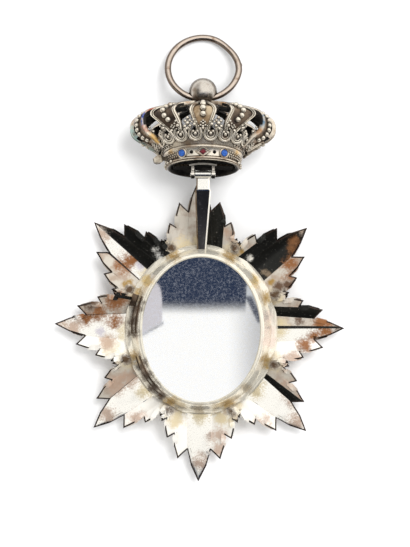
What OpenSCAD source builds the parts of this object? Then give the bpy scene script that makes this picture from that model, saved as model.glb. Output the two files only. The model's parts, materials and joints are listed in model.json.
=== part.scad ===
// Order insignia lying face down: an eight-rayed star of struck sheet silver with an oval medallion,
// hinged to a hollow arched crown that carries a ball and a suspension ring.
// The frame has Z up. Z = 0 is the surface that it lies on, and Y points from the star to the ring.

/* [Star] */
// Usual distance from the star's centre to the tip of a ray
ray_length = 28; // [27:0.1:29]
// Thickness of the struck sheet
sheet_t = 0.55; // [0.4:0.05:0.8]
// Height of the sheet's groove at the foot of a ray
root_z = 2.7; // [2.4:0.1:3]
// How far the sides of a ray rise above its groove
trough_rise = 2.1; // [1.5:0.1:2.4]
// Depth of the fold between two blades
fold_depth = 0.4; // [0.2:0.05:0.6]

/* [Casing] */
// Half width of the casing's oval rim
rim_rx = 11.6; // [11.4:0.1:11.8]
// Half height of the casing's oval rim
rim_ry = 14.15; // [14:0.05:14.3]
// Height of the rim above the surface
rim_z = 8; // [7.6:0.1:8.2]
// Depth of the dish in the back plate
dish_depth = 1.5; // [1:0.1:1.8]
// Thickness of the back plate
plate_t = 0.6; // [0.5:0.05:0.8]
// Gap between the loose-set plates and the casing
set_gap = 0.08; // [0.05:0.01:0.12]

/* [Hinge] */
// Sideways place of the crown and ring, measured from the star's centre
hang_x = 0.35; // [0:0.05:0.5]
// Distance from the star's centre to the hinge pin
hinge_y = 29.4; // [29.2:0.1:29.6]
// Radius of the hinge pin
pin_r = 0.4; // [0.35:0.05:0.45]
// Running clearance of the pin in its knuckle
pin_clear = 0.06; // [0.04:0.01:0.08]
// Radius of the hinge knuckle
knuckle_r = 0.85; // [0.8:0.05:0.9]
// Width of the knuckle on the tongue
knuckle_w = 3.1; // [2.8:0.1:3.2]
// Thickness of the tongue
tongue_t = 0.8; // [0.6:0.1:0.9]

/* [Crown] */
// Angle by which the ball end of the crown lies lower than its mouth
crown_tilt = 19; // [18:0.5:20]
// Distance from the hinge pin to the crown's mouth
mouth_off = 1.2; // [1.1:0.05:1.3]
// Thickness of the crown's walls and arches
wall_t = 0.7; // [0.6:0.05:0.8]
// Height of the raised border of an arch
border_h = 0.3; // [0.2:0.05:0.35]
// Number of scrolls round the gallery
scroll_count = 20; // [20:1:20]

/* [Ball and ring] */
// Radius of the ball on top of the crown
ball_r = 2.66; // [2.6:0.02:2.7]
// Distance from the crown's mouth to the middle of the ball
ball_a = 15.45; // [15.4:0.01:15.5]
// Radius of the hole through the ball
ball_bore_r = 1; // [0.95:0.01:1.05]
// How far the hole lies below the middle of the ball
ball_bore_off = 1.15; // [1.1:0.01:1.2]
// Half width of the ring, to the middle of its wire
ring_rx = 6.7; // [6.6:0.01:6.8]
// Half length of the ring, to the middle of its wire
ring_ry = 6.4; // [6.3:0.01:6.5]
// Radius of the ring's wire
wire_r = 0.6; // [0.55:0.01:0.62]

/* [Hidden] */
$fn = 64;

// Rays of the star, which were filed by hand: the direction of each, and how much it is over the usual length
RAYS = [[0.4, -0.9], [43.8, -0.2], [91.0, 0.3], [135.0, 0.7],
        [177.8, -0.2], [222.4, -0.4], [268.9, 0.8], [315.9, -0.3]];
// Blades on one side of a ray, from its middle outwards: tip along and across, notch along and across
BLADES = [[ray_length, 0.0, 22.3, 2.0],
          [23.8, 3.75, 19.4, 4.4],
          [20.0, 5.7, 16.5, 5.8],
          [16.9, 6.6, 15.0, 6.21]];
// Sides of the two oval plates
plate_steps = 52;
// How much the edge of a blade swells out at its middle
edge_swell = 0.28;
// Casing on the front, from the floor of its recess over the rim to the sheet: half width, half height, Z
FRONT_RIM = [[10.9, 13.4, 1.9], [10.9, 13.4, 0], [12.6, 14.95, 0]];
// Ovals where the sheet meets the casing, on the front and on the back
seat_front = [12.9, 15.2];
seat_back = [14.2, 15.8];
// Casing wall on the back, from the sheet to the rim: half width, half height, share of the way up
BACK_WALL = [[13.4, 15.3, 0.25], [12.7, 14.85, 0.6], [rim_rx + 0.45, rim_ry + 0.3, 0.94],
             [rim_rx + 0.15, rim_ry + 0.1, 1], [rim_rx - 0.25, rim_ry - 0.25, 0.99]];
// Crown wall from the inside of the mouth up the outside of band and gallery: distance from the mouth,
// half width, half depth
CROWN_WALL = [[0.0, 6.1, 4.5], [-0.15, 6.55, 4.95], [0.1, 6.95, 5.35], [0.45, 6.95, 5.35], [0.6, 6.75, 5.15],
              [2.1, 7.25, 5.55], [2.3, 7.5, 5.8], [2.65, 7.5, 5.8], [2.8, 7.35, 5.65], [4.2, 8.8, 6.6],
              [5.5, 10.0, 7.15], [5.4, 9.45, 6.65], [4.2, 8.15, 6.0], [2.7, 6.75, 5.05]];
// Rows of that table whose height follows the scrolls, and by how much
scroll_rows = [10, 11];
scroll_h = 0.5;
// Half arches, by their place round the oval
ARCH_TURNS = [0, 36, 75, 105, 144, 180, 216, 255, 285, 324];
// Arch sections from the gallery to the top: distance from the mouth, how much less that is at the sides,
// half width and half depth of the crown there, half width of the arch
ARCH = [[4.4, 1.4, 8.2, 6.3, 1.3], [5.6, 2.5, 8.6, 6.4, 1.4], [6.5, 2.8, 9.4, 6.6, 1.7], [7.6, 3.1, 10.5, 6.7, 2.1],
        [8.5, 3.4, 11.7, 6.75, 2.4], [9.1, 2.9, 12.6, 6.75, 2.6], [9.5, 1.8, 12.9, 6.7, 2.55], [9.9, 0.8, 12.7, 6.55, 2.4],
        [10.4, 0.2, 11.8, 6.15, 2.1], [11.2, 0, 9.8, 5.1, 1.3], [11.9, 0, 7.5, 3.9, 0.85], [12.7, 0, 3.3, 2.2, 0.65]];
border_w = 0.45;
// Beads in the channel of an arch: place among the rows of ARCH, and radius
ARCH_BEADS = [[4.1, 0.45], [5.6, 0.55], [7.5, 0.5]];
// Plate under the ball where the arches meet
boss_rx = 3;
boss_ry = 2.2;
boss_t = 0.8;
boss_a = 12.7;
// Stones on the band: distance from the mouth, half width and half depth of the band there, how far it
// leans, and place round the oval
stone_a = 1.35;
stone_rx = 7.0;
stone_ry = 5.35;
band_lean = 16;
blue_turn = 34;
blue_r = 0.62;
red_w = 1.5;
red_h = 0.95;
stone_t = 0.45;
// Square stud on the side of the band, which stands off on a neck
stud_turn = 72;
stud_w = 1.4;
stud_h = 1.5;
stud_neck_r = 0.45;
stud_neck_h = 1.4;
// Bridge across the crown's mouth and the ears on it
bridge_t = 0.5;
bridge_d = 1.9;
ear_t = 0.6;
ear_gap = 0.1;
// Tongue: top width, shoulder width, foot width, and the places of shoulder and foot
tongue_top_w = 2.5;
tongue_mid_w = 3.1;
tongue_foot_w = 1.7;
tongue_mid_y = 26.5;
tongue_foot_y = 14.6;
tongue_foot_z = 4.6;

// Height of the crown's mouth at which the beads of its lowest arch touch the surface
function depth_below(bead) = let (p = arch_point(bead[0], 180))
  p[2] * sin(crown_tilt) + p[1] * cos(crown_tilt) + bead[1];
mouth_z = ceil(100 * max([for (b = ARCH_BEADS) depth_below(b)])) / 100;
hinge_z = mouth_z + mouth_off * sin(crown_tilt);
mouth_y = hinge_y + mouth_off * cos(crown_tilt);
bore_a = ball_a - ball_bore_off;
bore_y = mouth_y + bore_a * cos(crown_tilt);
bore_z = mouth_z - bore_a * sin(crown_tilt);
// The wire curves inside the ball, so its lowest point sits a little below the middle of the hole
wire_sag = 0.27;
ring_mid = ring_ry - wire_sag;
ring_tilt = asin((bore_z - wire_r - 0.02) / (ring_mid + ring_ry));
// Arcs of the ring: offset of their middles and the two radii, which meet at 45 degrees
ring_c = (ring_rx - ring_ry) / (2 - sqrt(2));
ring_side_r = ring_rx - ring_c;
ring_end_r = ring_ry + ring_c;
// The origin lies under the middle of the whole object
back_y = bore_y + (ring_mid + ring_ry) * cos(ring_tilt) + wire_r;
function reach(ray) = ray_length + ray[1];
star_x = -(reach(RAYS[0]) * cos(RAYS[0][0]) + reach(RAYS[4]) * cos(RAYS[4][0])) / 2;
star_y = -(back_y + reach(RAYS[6]) * sin(RAYS[6][0])) / 2;

// A closed skin through rings of points. The first and last rings are capped unless the rings close,
// by the faces that ends lists where their outline isn't convex
module skin(rings, loop, ends = []) {
  n = len(rings[0]);
  m = len(rings);
  sides = [for (i = [0 : loop ? m - 1 : m - 2]) for (j = [0 : n - 1])
    let (k = (i + 1) % m, l = (j + 1) % n)
      each [[i * n + j, i * n + l, k * n + l], [i * n + j, k * n + l, k * n + j]]];
  whole = [[for (j = [0 : n - 1]) j]];
  caps = loop ? [] : [for (f = ends ? ends : whole) each [reversed(f), [for (j = f) (m - 1) * n + j]]];
  polyhedron(points = [for (r = rings) each r], faces = concat(sides, caps));
}

// Outline of one ray from its right valley over the tips to its left valley, with the kind of each
// point: 1 on a ridge between blades, -1 on the groove of a blade, 0 half way along an edge
function blade_pair(b, side) =
  let (tip = [b[0], side * b[1]], notch = [b[2], side * b[3]],
       along = notch - tip, out = [along[1], -along[0]] * side / norm(along))
    b[2] == BLADES[3][2] ? [[tip, -1], [notch, 1]]
                         : [[tip, -1], [(tip + notch) / 2 - out * edge_swell, 0], [notch, 1]];
function link_pair(a, b, side) =
  let (notch = [a[2], side * a[3]], tip = [b[0], side * b[1]],
       along = tip - notch, out = [along[1], -along[0]] * side / norm(along))
    [(tip + notch) / 2 - out * edge_swell, 0];
function half_outline(side) = [for (i = [0 : len(BLADES) - 1])
  each concat(i > 0 ? [link_pair(BLADES[i - 1], BLADES[i], side)] : [], blade_pair(BLADES[i], side))];
function reversed(list) = [for (i = [len(list) - 1 : -1 : 0]) list[i]];
function tail(list) = [for (i = [1 : len(list) - 1]) list[i]];
function ray_outline() = concat(tail(reversed(half_outline(-1))), tail(half_outline(1)));

function rise(across) = trough_rise * pow(abs(across) / BLADES[3][1], 1.5);

// Half of the angle between a ray and its neighbour on one side
function half_gap(k, side) =
  let (step = (RAYS[(k + side + 8) % 8][0] - RAYS[k][0]) * side) (step < 0 ? step + 360 : step) / 2;

// One row for each point of the star's outline: the ray's direction, the point along and across the
// ray, the fold's height there, and where that point's fold meets the casing
OUTLINE = let (ray = ray_outline(), n = len(ray) - 1) [for (k = [0 : 7]) for (i = [0 : n - 1])
  let (angle = RAYS[k][0], grow = reach(RAYS[k]) / ray_length, share = i / n - 0.5,
       gap = half_gap(k, share < 0 ? -1 : 1))
    [angle, ray[i][0][0] * grow, ray[i][0][1] * grow * gap / 22.5, ray[i][1] * fold_depth / 2,
     angle + 2 * gap * share, share]];

function edge_ring(drop) = [for (p = OUTLINE)
  [p[1] * cos(p[0]) - p[2] * sin(p[0]), p[1] * sin(p[0]) + p[2] * cos(p[0]),
   root_z + 0.2 + rise(p[2]) + p[3] / 2 - drop]];
function foot_z(p) = root_z + trough_rise * pow(abs(2 * p[5]), 1.5) + p[3];
function foot_ring(seat, drop) = [for (p = OUTLINE)
  [seat[0] * cos(p[4]), seat[1] * sin(p[4]), foot_z(p) - drop]];
function wall_ring(s) = [for (p = OUTLINE)
  [s[0] * cos(p[4]), s[1] * sin(p[4]), foot_z(p) + s[2] * (rim_z - foot_z(p))]];
function oval(rx, ry, z) = [for (p = OUTLINE) [rx * cos(p[4]), ry * sin(p[4]), z]];
function dish_z(s) = rim_z - 0.1 - dish_depth * (1 - s * s) - plate_t - set_gap;

// Rayed sheet and casing in one skin, from the dish on the back out to the ray tips and round to the front
module sheet_and_casing() {
  rx = rim_rx - 0.3;
  ry = rim_ry - 0.3;
  skin(concat([for (s = [0.25, 0.6, 1]) oval(rx * s, ry * s, dish_z(s))],
              [for (s = reversed(BACK_WALL)) wall_ring(s)],
              [foot_ring(seat_back, 0), edge_ring(0), edge_ring(sheet_t), foot_ring(seat_front, sheet_t)],
              [for (s = reversed(FRONT_RIM)) oval(s[0], s[1], s[2])]), false);
}

// Side view of the tongue, cut to its plan, with its knuckle
module tongue() {
  flat_z = hinge_z - knuckle_r;
  translate([hang_x, 0, 0]) difference() {
    union() {
      intersection() {
        translate([-tongue_mid_w, 0, 0]) rotate([90, 0, 90]) linear_extrude(2 * tongue_mid_w)
          polygon([[hinge_y, flat_z], [tongue_mid_y, flat_z], [tongue_foot_y, tongue_foot_z - tongue_t],
                   [tongue_foot_y, tongue_foot_z], [tongue_mid_y, flat_z + tongue_t],
                   [hinge_y, flat_z + tongue_t]]);
        linear_extrude(2 * hinge_z)
          polygon([[-tongue_top_w / 2, hinge_y], [-tongue_top_w / 2, tongue_mid_y],
                   [-tongue_mid_w / 2, tongue_mid_y - 0.2], [-tongue_foot_w / 2, tongue_foot_y],
                   [tongue_foot_w / 2, tongue_foot_y], [tongue_mid_w / 2, tongue_mid_y - 0.2],
                   [tongue_top_w / 2, tongue_mid_y], [tongue_top_w / 2, hinge_y]]);
      }
      translate([-knuckle_w / 2, hinge_y, hinge_z]) rotate([0, 90, 0]) cylinder(r = knuckle_r, h = knuckle_w);
    }
    translate([-knuckle_w, hinge_y, hinge_z]) rotate([0, 90, 0])
      cylinder(r = pin_r + pin_clear, h = 2 * knuckle_w);
  }
}

module star() {
  color("silver") translate([star_x, star_y, 0]) {
    sheet_and_casing();
    tongue();
  }
}

// Arc of a shallow bowl from near its middle out to its edge: share of the half width, and Z
function bowl(depth, z) = [for (i = [1 : 4]) [i / 4, z + depth * i * i / 16]];

// Oval plate between two such arcs, or an arc and a flat
module oval_plate(rx, ry, arcs) {
  skin([for (s = arcs) [for (i = [0 : plate_steps - 1]) let (t = 360 * i / plate_steps)
    [rx * s[0] * cos(t), ry * s[0] * sin(t), s[1]]]], false);
}

// Polished dish inside the rim
module back_plate() {
  low = rim_z - 0.1 - dish_depth;
  color("gainsboro") translate([star_x, star_y, 0])
    oval_plate(rim_rx - 0.3 - set_gap, rim_ry - 0.3 - set_gap,
               concat(bowl(dish_depth, low), reversed(bowl(dish_depth, low - plate_t))));
}

// Plain oval with a low dome, set a little behind the front rim
module front_medallion() {
  recess = FRONT_RIM[0];
  color("silver") translate([star_x, star_y, 0])
    oval_plate(recess[0] - set_gap, recess[1] - set_gap,
               concat([[1, recess[2] - set_gap]], reversed(bowl(0.9, 0.2))));
}

module at_hinge() {
  translate([star_x + hang_x, star_y + hinge_y, hinge_z]) children();
}

// The crown's own frame: Z from the mouth to the ball, -Y towards the back of the star
module at_crown() {
  translate([star_x + hang_x, star_y + mouth_y, mouth_z]) rotate([-90 - crown_tilt, 0, 0]) children();
}

module hinge_pin() {
  length = knuckle_w + 2 * (ear_gap + ear_t) + 0.3;
  color("silver") at_hinge() translate([-length / 2, 0, 0]) rotate([0, 90, 0]) cylinder(r = pin_r, h = length);
}

// Strip across the mouth with two ears that hold the pin
module hinge_bridge() {
  reach = CROWN_WALL[0][1] - set_gap;
  color("silver") at_crown() difference() {
    union() {
      translate([-reach + 0.35, -bridge_d / 2, 0]) cube([2 * reach - 0.7, bridge_d, bridge_t]);
      for (side = [-1, 1]) translate([side * (knuckle_w / 2 + ear_gap + ear_t / 2), 0, 0]) {
        translate([-ear_t / 2, -knuckle_r, -mouth_off]) cube([ear_t, 2 * knuckle_r, mouth_off + bridge_t / 2]);
        translate([-ear_t / 2, 0, -mouth_off]) rotate([0, 90, 0]) cylinder(r = knuckle_r, h = ear_t);
      }
    }
    translate([-knuckle_w, 0, -mouth_off]) rotate([0, 90, 0]) cylinder(r = pin_r + 0.03, h = 2 * knuckle_w);
  }
}

// Ring of the crown's wall, scalloped along its scrolled edge
module crown_wall() {
  steps = 3 * scroll_count;
  skin([for (i = [0 : steps - 1]) let (t = 360 * i / steps, lift = scroll_h * abs(sin(scroll_count * t / 2)))
    [for (k = [0 : len(CROWN_WALL) - 1]) let (s = CROWN_WALL[k], up = k == scroll_rows[0] || k == scroll_rows[1])
      [s[1] * sin(t), -s[2] * cos(t), s[0] + (up ? lift : 0)]]], true);
}

// Middle of an arch's floor at a row of its table
function arch_middle(s, turn) = [s[2] * sin(turn), -s[3] * cos(turn), s[0] - s[1] * pow(sin(turn), 4)];

// Cross-section of one arch at a row of ARCH: two raised borders with a channel between them
function arch_section(k, turn) =
  let (s = ARCH[k], last = len(ARCH) - 1,
       across = [s[2] * cos(turn), s[3] * sin(turn), 0],
       side = across / norm(across),
       up = arch_middle(ARCH[min(k + 1, last)], turn) - arch_middle(ARCH[max(k - 1, 0)], turn),
       out = cross(side, up / norm(up)),
       middle = arch_middle(s, turn), w = s[4])
    [for (p = [[-w, border_h], [border_w - w, border_h], [border_w - w, 0], [w - border_w, 0],
               [w - border_w, border_h], [w, border_h], [w, -wall_t], [-w, -wall_t]])
      middle + side * p[0] + out * p[1]];

// Point on the floor of an arch's channel, part way between two rows of ARCH
function arch_point(k, turn) =
  let (i = floor(k), f = k - i) arch_middle(ARCH[i] * (1 - f) + ARCH[i + 1] * f, turn);

module arch(turn) {
  skin([for (k = [len(ARCH) - 1 : -1 : 0]) arch_section(k, turn)], false,
       [[0, 1, 2, 7], [2, 3, 6, 7], [3, 4, 5, 6]]);
  for (b = ARCH_BEADS) translate(arch_point(b[0], turn)) sphere(r = b[1], $fn = 8);
}

// One leaf of the gallery, lying on the flared wall
module scroll(turn) {
  low = [8.25 * sin(turn), -6.25 * cos(turn), 3.55];
  high = [9.35 * sin(turn), -6.85 * cos(turn), 4.85];
  hull() {
    translate(low) sphere(r = 0.45, $fn = 6);
    translate(high) sphere(r = 0.6, $fn = 6);
  }
}

module crown() {
  color("silver") at_crown() {
    crown_wall();
    for (turn = ARCH_TURNS) arch(turn);
    for (i = [0 : scroll_count - 1]) scroll(360 * (i + 0.5) / scroll_count);
    translate([0, 0, boss_a - boss_t]) scale([1, boss_ry / boss_rx, 1]) cylinder(r = boss_rx, h = boss_t);
  }
}

module ball() {
  color("lightgray") at_crown() difference() {
    translate([0, 0, ball_a]) rotate([0, 0, 90]) sphere(r = ball_r);
    translate([-2 * ball_r, 0, bore_a]) rotate([0, 90, 0]) cylinder(r = ball_bore_r, h = 4 * ball_r);
  }
}

// Oval ring of round wire in four arcs, standing from the middle of the ball's hole
module suspension_ring() {
  arcs = [[ring_c, 0, ring_side_r, -45], [0, -ring_c, ring_end_r, 45],
          [-ring_c, 0, ring_side_r, 135], [0, ring_c, ring_end_r, 225]];
  color("rosybrown") translate([star_x + hang_x, star_y + bore_y, bore_z]) rotate([-ring_tilt, 0, 0])
    translate([0, ring_mid, 0]) for (a = arcs)
      translate([a[0], a[1], 0]) rotate([0, 0, a[3]]) rotate_extrude(angle = 90) translate([a[2], 0]) circle(r = wire_r);
}

// Place on the outside of the band, with Z outwards and Y towards the ball
module on_band(turn) {
  at_crown() translate([stone_rx * sin(turn), -stone_ry * cos(turn), stone_a])
    rotate([0, 0, atan2(stone_ry * sin(turn), stone_rx * cos(turn))]) rotate([90 + band_lean, 0, 0]) children();
}

module blue_enamel(turn) {
  color("royalblue") on_band(turn) translate([0, 0, set_gap]) cylinder(r = blue_r, h = stone_t);
}

module red_lozenge() {
  color("maroon") on_band(0) translate([0, 0, set_gap]) linear_extrude(stone_t)
    polygon([[-red_w / 2, 0], [0, -red_h / 2], [red_w / 2, 0], [0, red_h / 2]]);
}

module side_stud() {
  color("gainsboro") on_band(-stud_turn) {
    translate([0, 0, set_gap]) cylinder(r = stud_neck_r, h = stud_neck_h);
    translate([-stud_w / 2, -stud_w / 2, stud_neck_h]) cube([stud_w, stud_w, stud_h]);
  }
}

star();
back_plate();
front_medallion();
hinge_pin();
hinge_bridge();
crown();
ball();
suspension_ring();
blue_enamel(-blue_turn);  // blue_enamel_left
blue_enamel(blue_turn);  // blue_enamel_right
red_lozenge();
side_stud();
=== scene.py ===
# %% [markdown]
# # An order insignia, lying face down
#
# The real object is a star of struck sheet silver with a raised oval casing. A hollow crown hangs on
# it by a small hinge, and carries a ball and a wire ring for the ribbon. It is seen from the back.
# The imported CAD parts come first. They fix where everything is, so each new piece is modelled in
# millimetres in the frame of the part that carries it, and then set down on that part.

# %% Load the frame
import json
import math

import bpy
from mathutils import Matrix, Vector, noise


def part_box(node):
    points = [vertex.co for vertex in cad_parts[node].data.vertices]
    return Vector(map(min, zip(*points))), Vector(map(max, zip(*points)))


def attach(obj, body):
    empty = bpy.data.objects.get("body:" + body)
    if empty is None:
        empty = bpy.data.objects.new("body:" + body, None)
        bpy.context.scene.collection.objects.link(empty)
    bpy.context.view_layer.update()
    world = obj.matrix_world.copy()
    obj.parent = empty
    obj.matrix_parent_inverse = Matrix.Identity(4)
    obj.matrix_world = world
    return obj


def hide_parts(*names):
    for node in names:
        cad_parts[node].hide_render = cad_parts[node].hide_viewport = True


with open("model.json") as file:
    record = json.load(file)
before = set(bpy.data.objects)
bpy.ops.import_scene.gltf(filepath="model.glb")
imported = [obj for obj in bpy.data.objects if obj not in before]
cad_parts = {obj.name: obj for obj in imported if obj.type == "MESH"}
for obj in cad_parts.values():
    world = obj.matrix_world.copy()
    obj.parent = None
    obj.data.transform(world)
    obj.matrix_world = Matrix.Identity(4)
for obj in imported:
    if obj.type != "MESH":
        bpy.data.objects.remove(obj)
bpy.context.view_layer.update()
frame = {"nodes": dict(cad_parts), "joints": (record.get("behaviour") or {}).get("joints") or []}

MM = 0.001
joints = {joint["name"]: joint for joint in frame["joints"]}
hinge = Vector(joints["crown_hinge"]["pos_m"])
bore = Vector(joints["ring_swing"]["pos_m"])
plate_low, plate_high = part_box("back_plate")
star_middle = Vector(((plate_low.x + plate_high.x) / 2, (plate_low.y + plate_high.y) / 2, 0))
CROWN_TILT = math.radians(19)
MOUTH_OFF = 1.2
RING_RX, RING_RY, WIRE_R, WIRE_SAG = 6.7, 6.4, 0.6, 0.27
RING_MID = RING_RY - WIRE_SAG
TABLE_GAP = 0.02
ring_tilt = math.asin((bore.z / MM - WIRE_R - TABLE_GAP) / (RING_MID + RING_RY))
crown_axis = Vector((0, math.cos(CROWN_TILT), -math.sin(CROWN_TILT)))
to_metres = Matrix.Scale(MM, 4)
AT_STAR = Matrix.Translation(star_middle) @ to_metres
AT_HINGE = Matrix.Translation(hinge) @ to_metres
AT_CROWN = (Matrix.Translation(hinge + MOUTH_OFF * MM * crown_axis)
            @ Matrix.Rotation(-math.pi / 2 - CROWN_TILT, 4, "X") @ to_metres)
AT_RING = Matrix.Translation(bore) @ Matrix.Rotation(-ring_tilt, 4, "X") @ to_metres
print("the star's middle is at", tuple(round(v / MM, 2) for v in star_middle), "mm")

# %% [markdown]
# ## Helpers
#
# By hand one would add a primitive, go into edit mode and pull it into shape. These helpers do the
# same: `add` makes a primitive with nothing else selected, `turn` extrudes a circle row by row into an
# oval turned part, and `sweep` lays a grid over rows of points, for sheet that bends too freely for
# extruding. `settle` puts the finished piece on its carrier and gives it its body and material.


# %% Add a primitive and edit it
def deselect():
    if bpy.context.object and bpy.context.object.mode == "EDIT":
        bpy.ops.object.mode_set(mode="OBJECT")
    bpy.ops.object.select_all(action="DESELECT")


def add(name, primitive, **sizes):
    deselect()
    primitive(**sizes)
    piece = bpy.context.object
    piece.name = name
    return piece


def select(piece):
    deselect()
    piece.select_set(True)
    bpy.context.view_layer.objects.active = piece


def tidy(piece, distance=1e-4):
    """Merges double points and turns all faces outwards."""
    select(piece)
    bpy.ops.object.mode_set(mode="EDIT")
    bpy.ops.mesh.select_all(action="SELECT")
    bpy.ops.mesh.remove_doubles(threshold=distance)
    bpy.ops.mesh.normals_make_consistent(inside=False)
    bpy.ops.object.mode_set(mode="OBJECT")
    return piece


def modify(piece, kind, **settings):
    """Adds a modifier to a piece and applies it."""
    select(piece)
    modifier = piece.modifiers.new(kind.title(), kind)
    for key, value in settings.items():
        setattr(modifier, key, value)
    bpy.ops.object.modifier_apply(modifier=modifier.name)
    return piece


# %% Turn an oval part, and sweep a sheet over rows of points
def turn(name, rows, steps=128, closed=False, caps=(True, True)):
    """Extrudes an oval through rows of (half width, half height, level)."""
    piece = add(name, bpy.ops.mesh.primitive_circle_add, vertices=steps, radius=1)
    first = rows[0]
    bpy.ops.object.mode_set(mode="EDIT")
    bpy.ops.mesh.select_all(action="SELECT")
    bpy.ops.transform.resize(value=(first[0], first[1], 1), center_override=(0, 0, 0))
    bpy.ops.transform.translate(value=(0, 0, first[2]))
    if caps[0] and not closed:
        bpy.ops.mesh.edge_face_add()
        bpy.ops.mesh.inset(thickness=min(first[:2]) * 0.1, depth=0)
        bpy.ops.mesh.select_all(action="DESELECT")
        bpy.ops.object.mode_set(mode="OBJECT")
        for vertex in piece.data.vertices[:steps]:
            vertex.select = True
        bpy.ops.object.mode_set(mode="EDIT")
        bpy.ops.mesh.select_mode(type="VERT")
        bpy.ops.mesh.select_mode(type="EDGE")
    for old, new in zip(rows, rows[1:]):
        bpy.ops.mesh.extrude_edges_move(TRANSFORM_OT_translate={"value": (0, 0, new[2] - old[2])})
        bpy.ops.transform.resize(value=(new[0] / old[0], new[1] / old[1], 1), center_override=(0, 0, 0))
    if caps[1] and not closed:
        bpy.ops.mesh.edge_face_add()
    if closed:
        bpy.ops.mesh.extrude_edges_move(TRANSFORM_OT_translate={"value": (0, 0, first[2] - rows[-1][2])})
        bpy.ops.transform.resize(value=(first[0] / rows[-1][0], first[1] / rows[-1][1], 1),
                                 center_override=(0, 0, 0))
    bpy.ops.object.mode_set(mode="OBJECT")
    return tidy(piece)


def sweep(name, rows, tube=False, caps=False, finish=lambda column: 0):
    """Lays a grid over rows of points, each column with a material's index.

    A tube's rows end where they begin.
    """
    across, along = len(rows[0]), len(rows)
    piece = add(name, bpy.ops.mesh.primitive_grid_add, x_subdivisions=across - 1, y_subdivisions=along - 1)
    for j, row in enumerate(rows):
        for i, point in enumerate(row):
            piece.data.vertices[j * across + i].co = point
    for number, face in enumerate(piece.data.polygons):
        face.material_index = finish(number % (across - 1))
    if caps:
        select(piece)
        bpy.ops.object.mode_set(mode="EDIT")
        bpy.ops.mesh.select_mode(type="VERT")
        bpy.ops.mesh.select_all(action="SELECT")
        bpy.ops.mesh.remove_doubles(threshold=1e-4)
        bpy.ops.mesh.select_all(action="DESELECT")
        bpy.ops.mesh.select_non_manifold()
        bpy.ops.mesh.fill_holes(sides=0)
        bpy.ops.object.mode_set(mode="OBJECT")
    return tidy(piece) if tube or caps else piece


def join(name, parts):
    """Joins parts into one piece with one mesh."""
    deselect()
    for part in parts:
        part.select_set(True)
    bpy.context.view_layer.objects.active = parts[0]
    if len(parts) > 1:
        bpy.ops.object.join()
    parts[0].name = name
    return parts[0]


def settle(piece, carrier, body, material, slot, *nodes, smooth=40):
    """Sets a finished piece down on its carrier, gives it its body and material, and hides the nodes it
    replaces.
    """
    piece.matrix_world = carrier @ piece.matrix_world
    select(piece)
    bpy.ops.object.transform_apply(location=True, rotation=True, scale=True)
    bpy.ops.object.shade_smooth_by_angle(angle=math.radians(smooth))
    if not piece.data.materials:
        piece.data.materials.append(material)
    for index in range(len(piece.data.materials)):
        piece.data.materials[index] = piece.data.materials[index] or material
    # How far each point faces up, for the silvers whose sides are painted darker as shade
    up_facing = piece.data.attributes.new("up_facing", "FLOAT", "POINT")
    up_facing.data.foreach_set("value", [max(vertex.normal.z, 0.0) for vertex in piece.data.vertices])
    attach(piece, body)
    if nodes:
        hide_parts(*nodes)
    print(piece.name, len(piece.data.polygons), "faces")
    return piece


# %% [markdown]
# ## Silver and its tarnish
#
# Old silver is a mirror with a history: bright where rubbing polished it, warm brown and orange where
# it wasn't, and nearly black in the recesses. One function builds every silver here but the dish's. It
# mixes a clean metal with a tarnish colour through noise, adds patches at named places, and lets the
# tarnish also roughen the surface. Sides that face away from up can get painted shade. Everything is
# read in Object coordinates or from the piece itself, so it stays put when a part moves.


# %% Node helpers
class Nodes:
    """The nodes of a material or of the world, added one call at a time."""

    def __init__(self, tree):
        self.nodes = tree.nodes
        self.links = tree.links

    def node(self, kind, **settings):
        made = self.nodes.new(kind)
        for key, value in settings.items():
            setattr(made, key, value)
        return made

    def plug(self, value, socket):
        if isinstance(value, bpy.types.NodeSocket):
            self.links.new(value, socket)
        else:
            socket.default_value = value

    def span(self, value, low, high, to_low=0.0, to_high=1.0):
        """Takes low to to_low and high to to_high, with a soft start and end."""
        made = self.node("ShaderNodeMapRange", interpolation_type="SMOOTHSTEP")
        self.plug(value, made.inputs["Value"])
        for name, number in zip(("From Min", "From Max", "To Min", "To Max"), (low, high, to_low, to_high)):
            made.inputs[name].default_value = number
        return made.outputs["Result"]

    def math(self, operation, a, b=0.0):
        made = self.node("ShaderNodeMath", operation=operation)
        self.plug(a, made.inputs[0])
        self.plug(b, made.inputs[1])
        return made.outputs[0]

    def mix(self, share, a, b):
        made = self.node("ShaderNodeMix", data_type="RGBA")
        self.plug(share, made.inputs[0])
        for value, index in ((a, 6), (b, 7)):
            self.plug((*value, 1) if isinstance(value, tuple) else value, made.inputs[index])
        return made.outputs[2]

    def any_of(self, values):
        """The greatest of several values."""
        total = values[0]
        for value in values[1:]:
            total = self.math("MAXIMUM", total, value)
        return total


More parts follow.
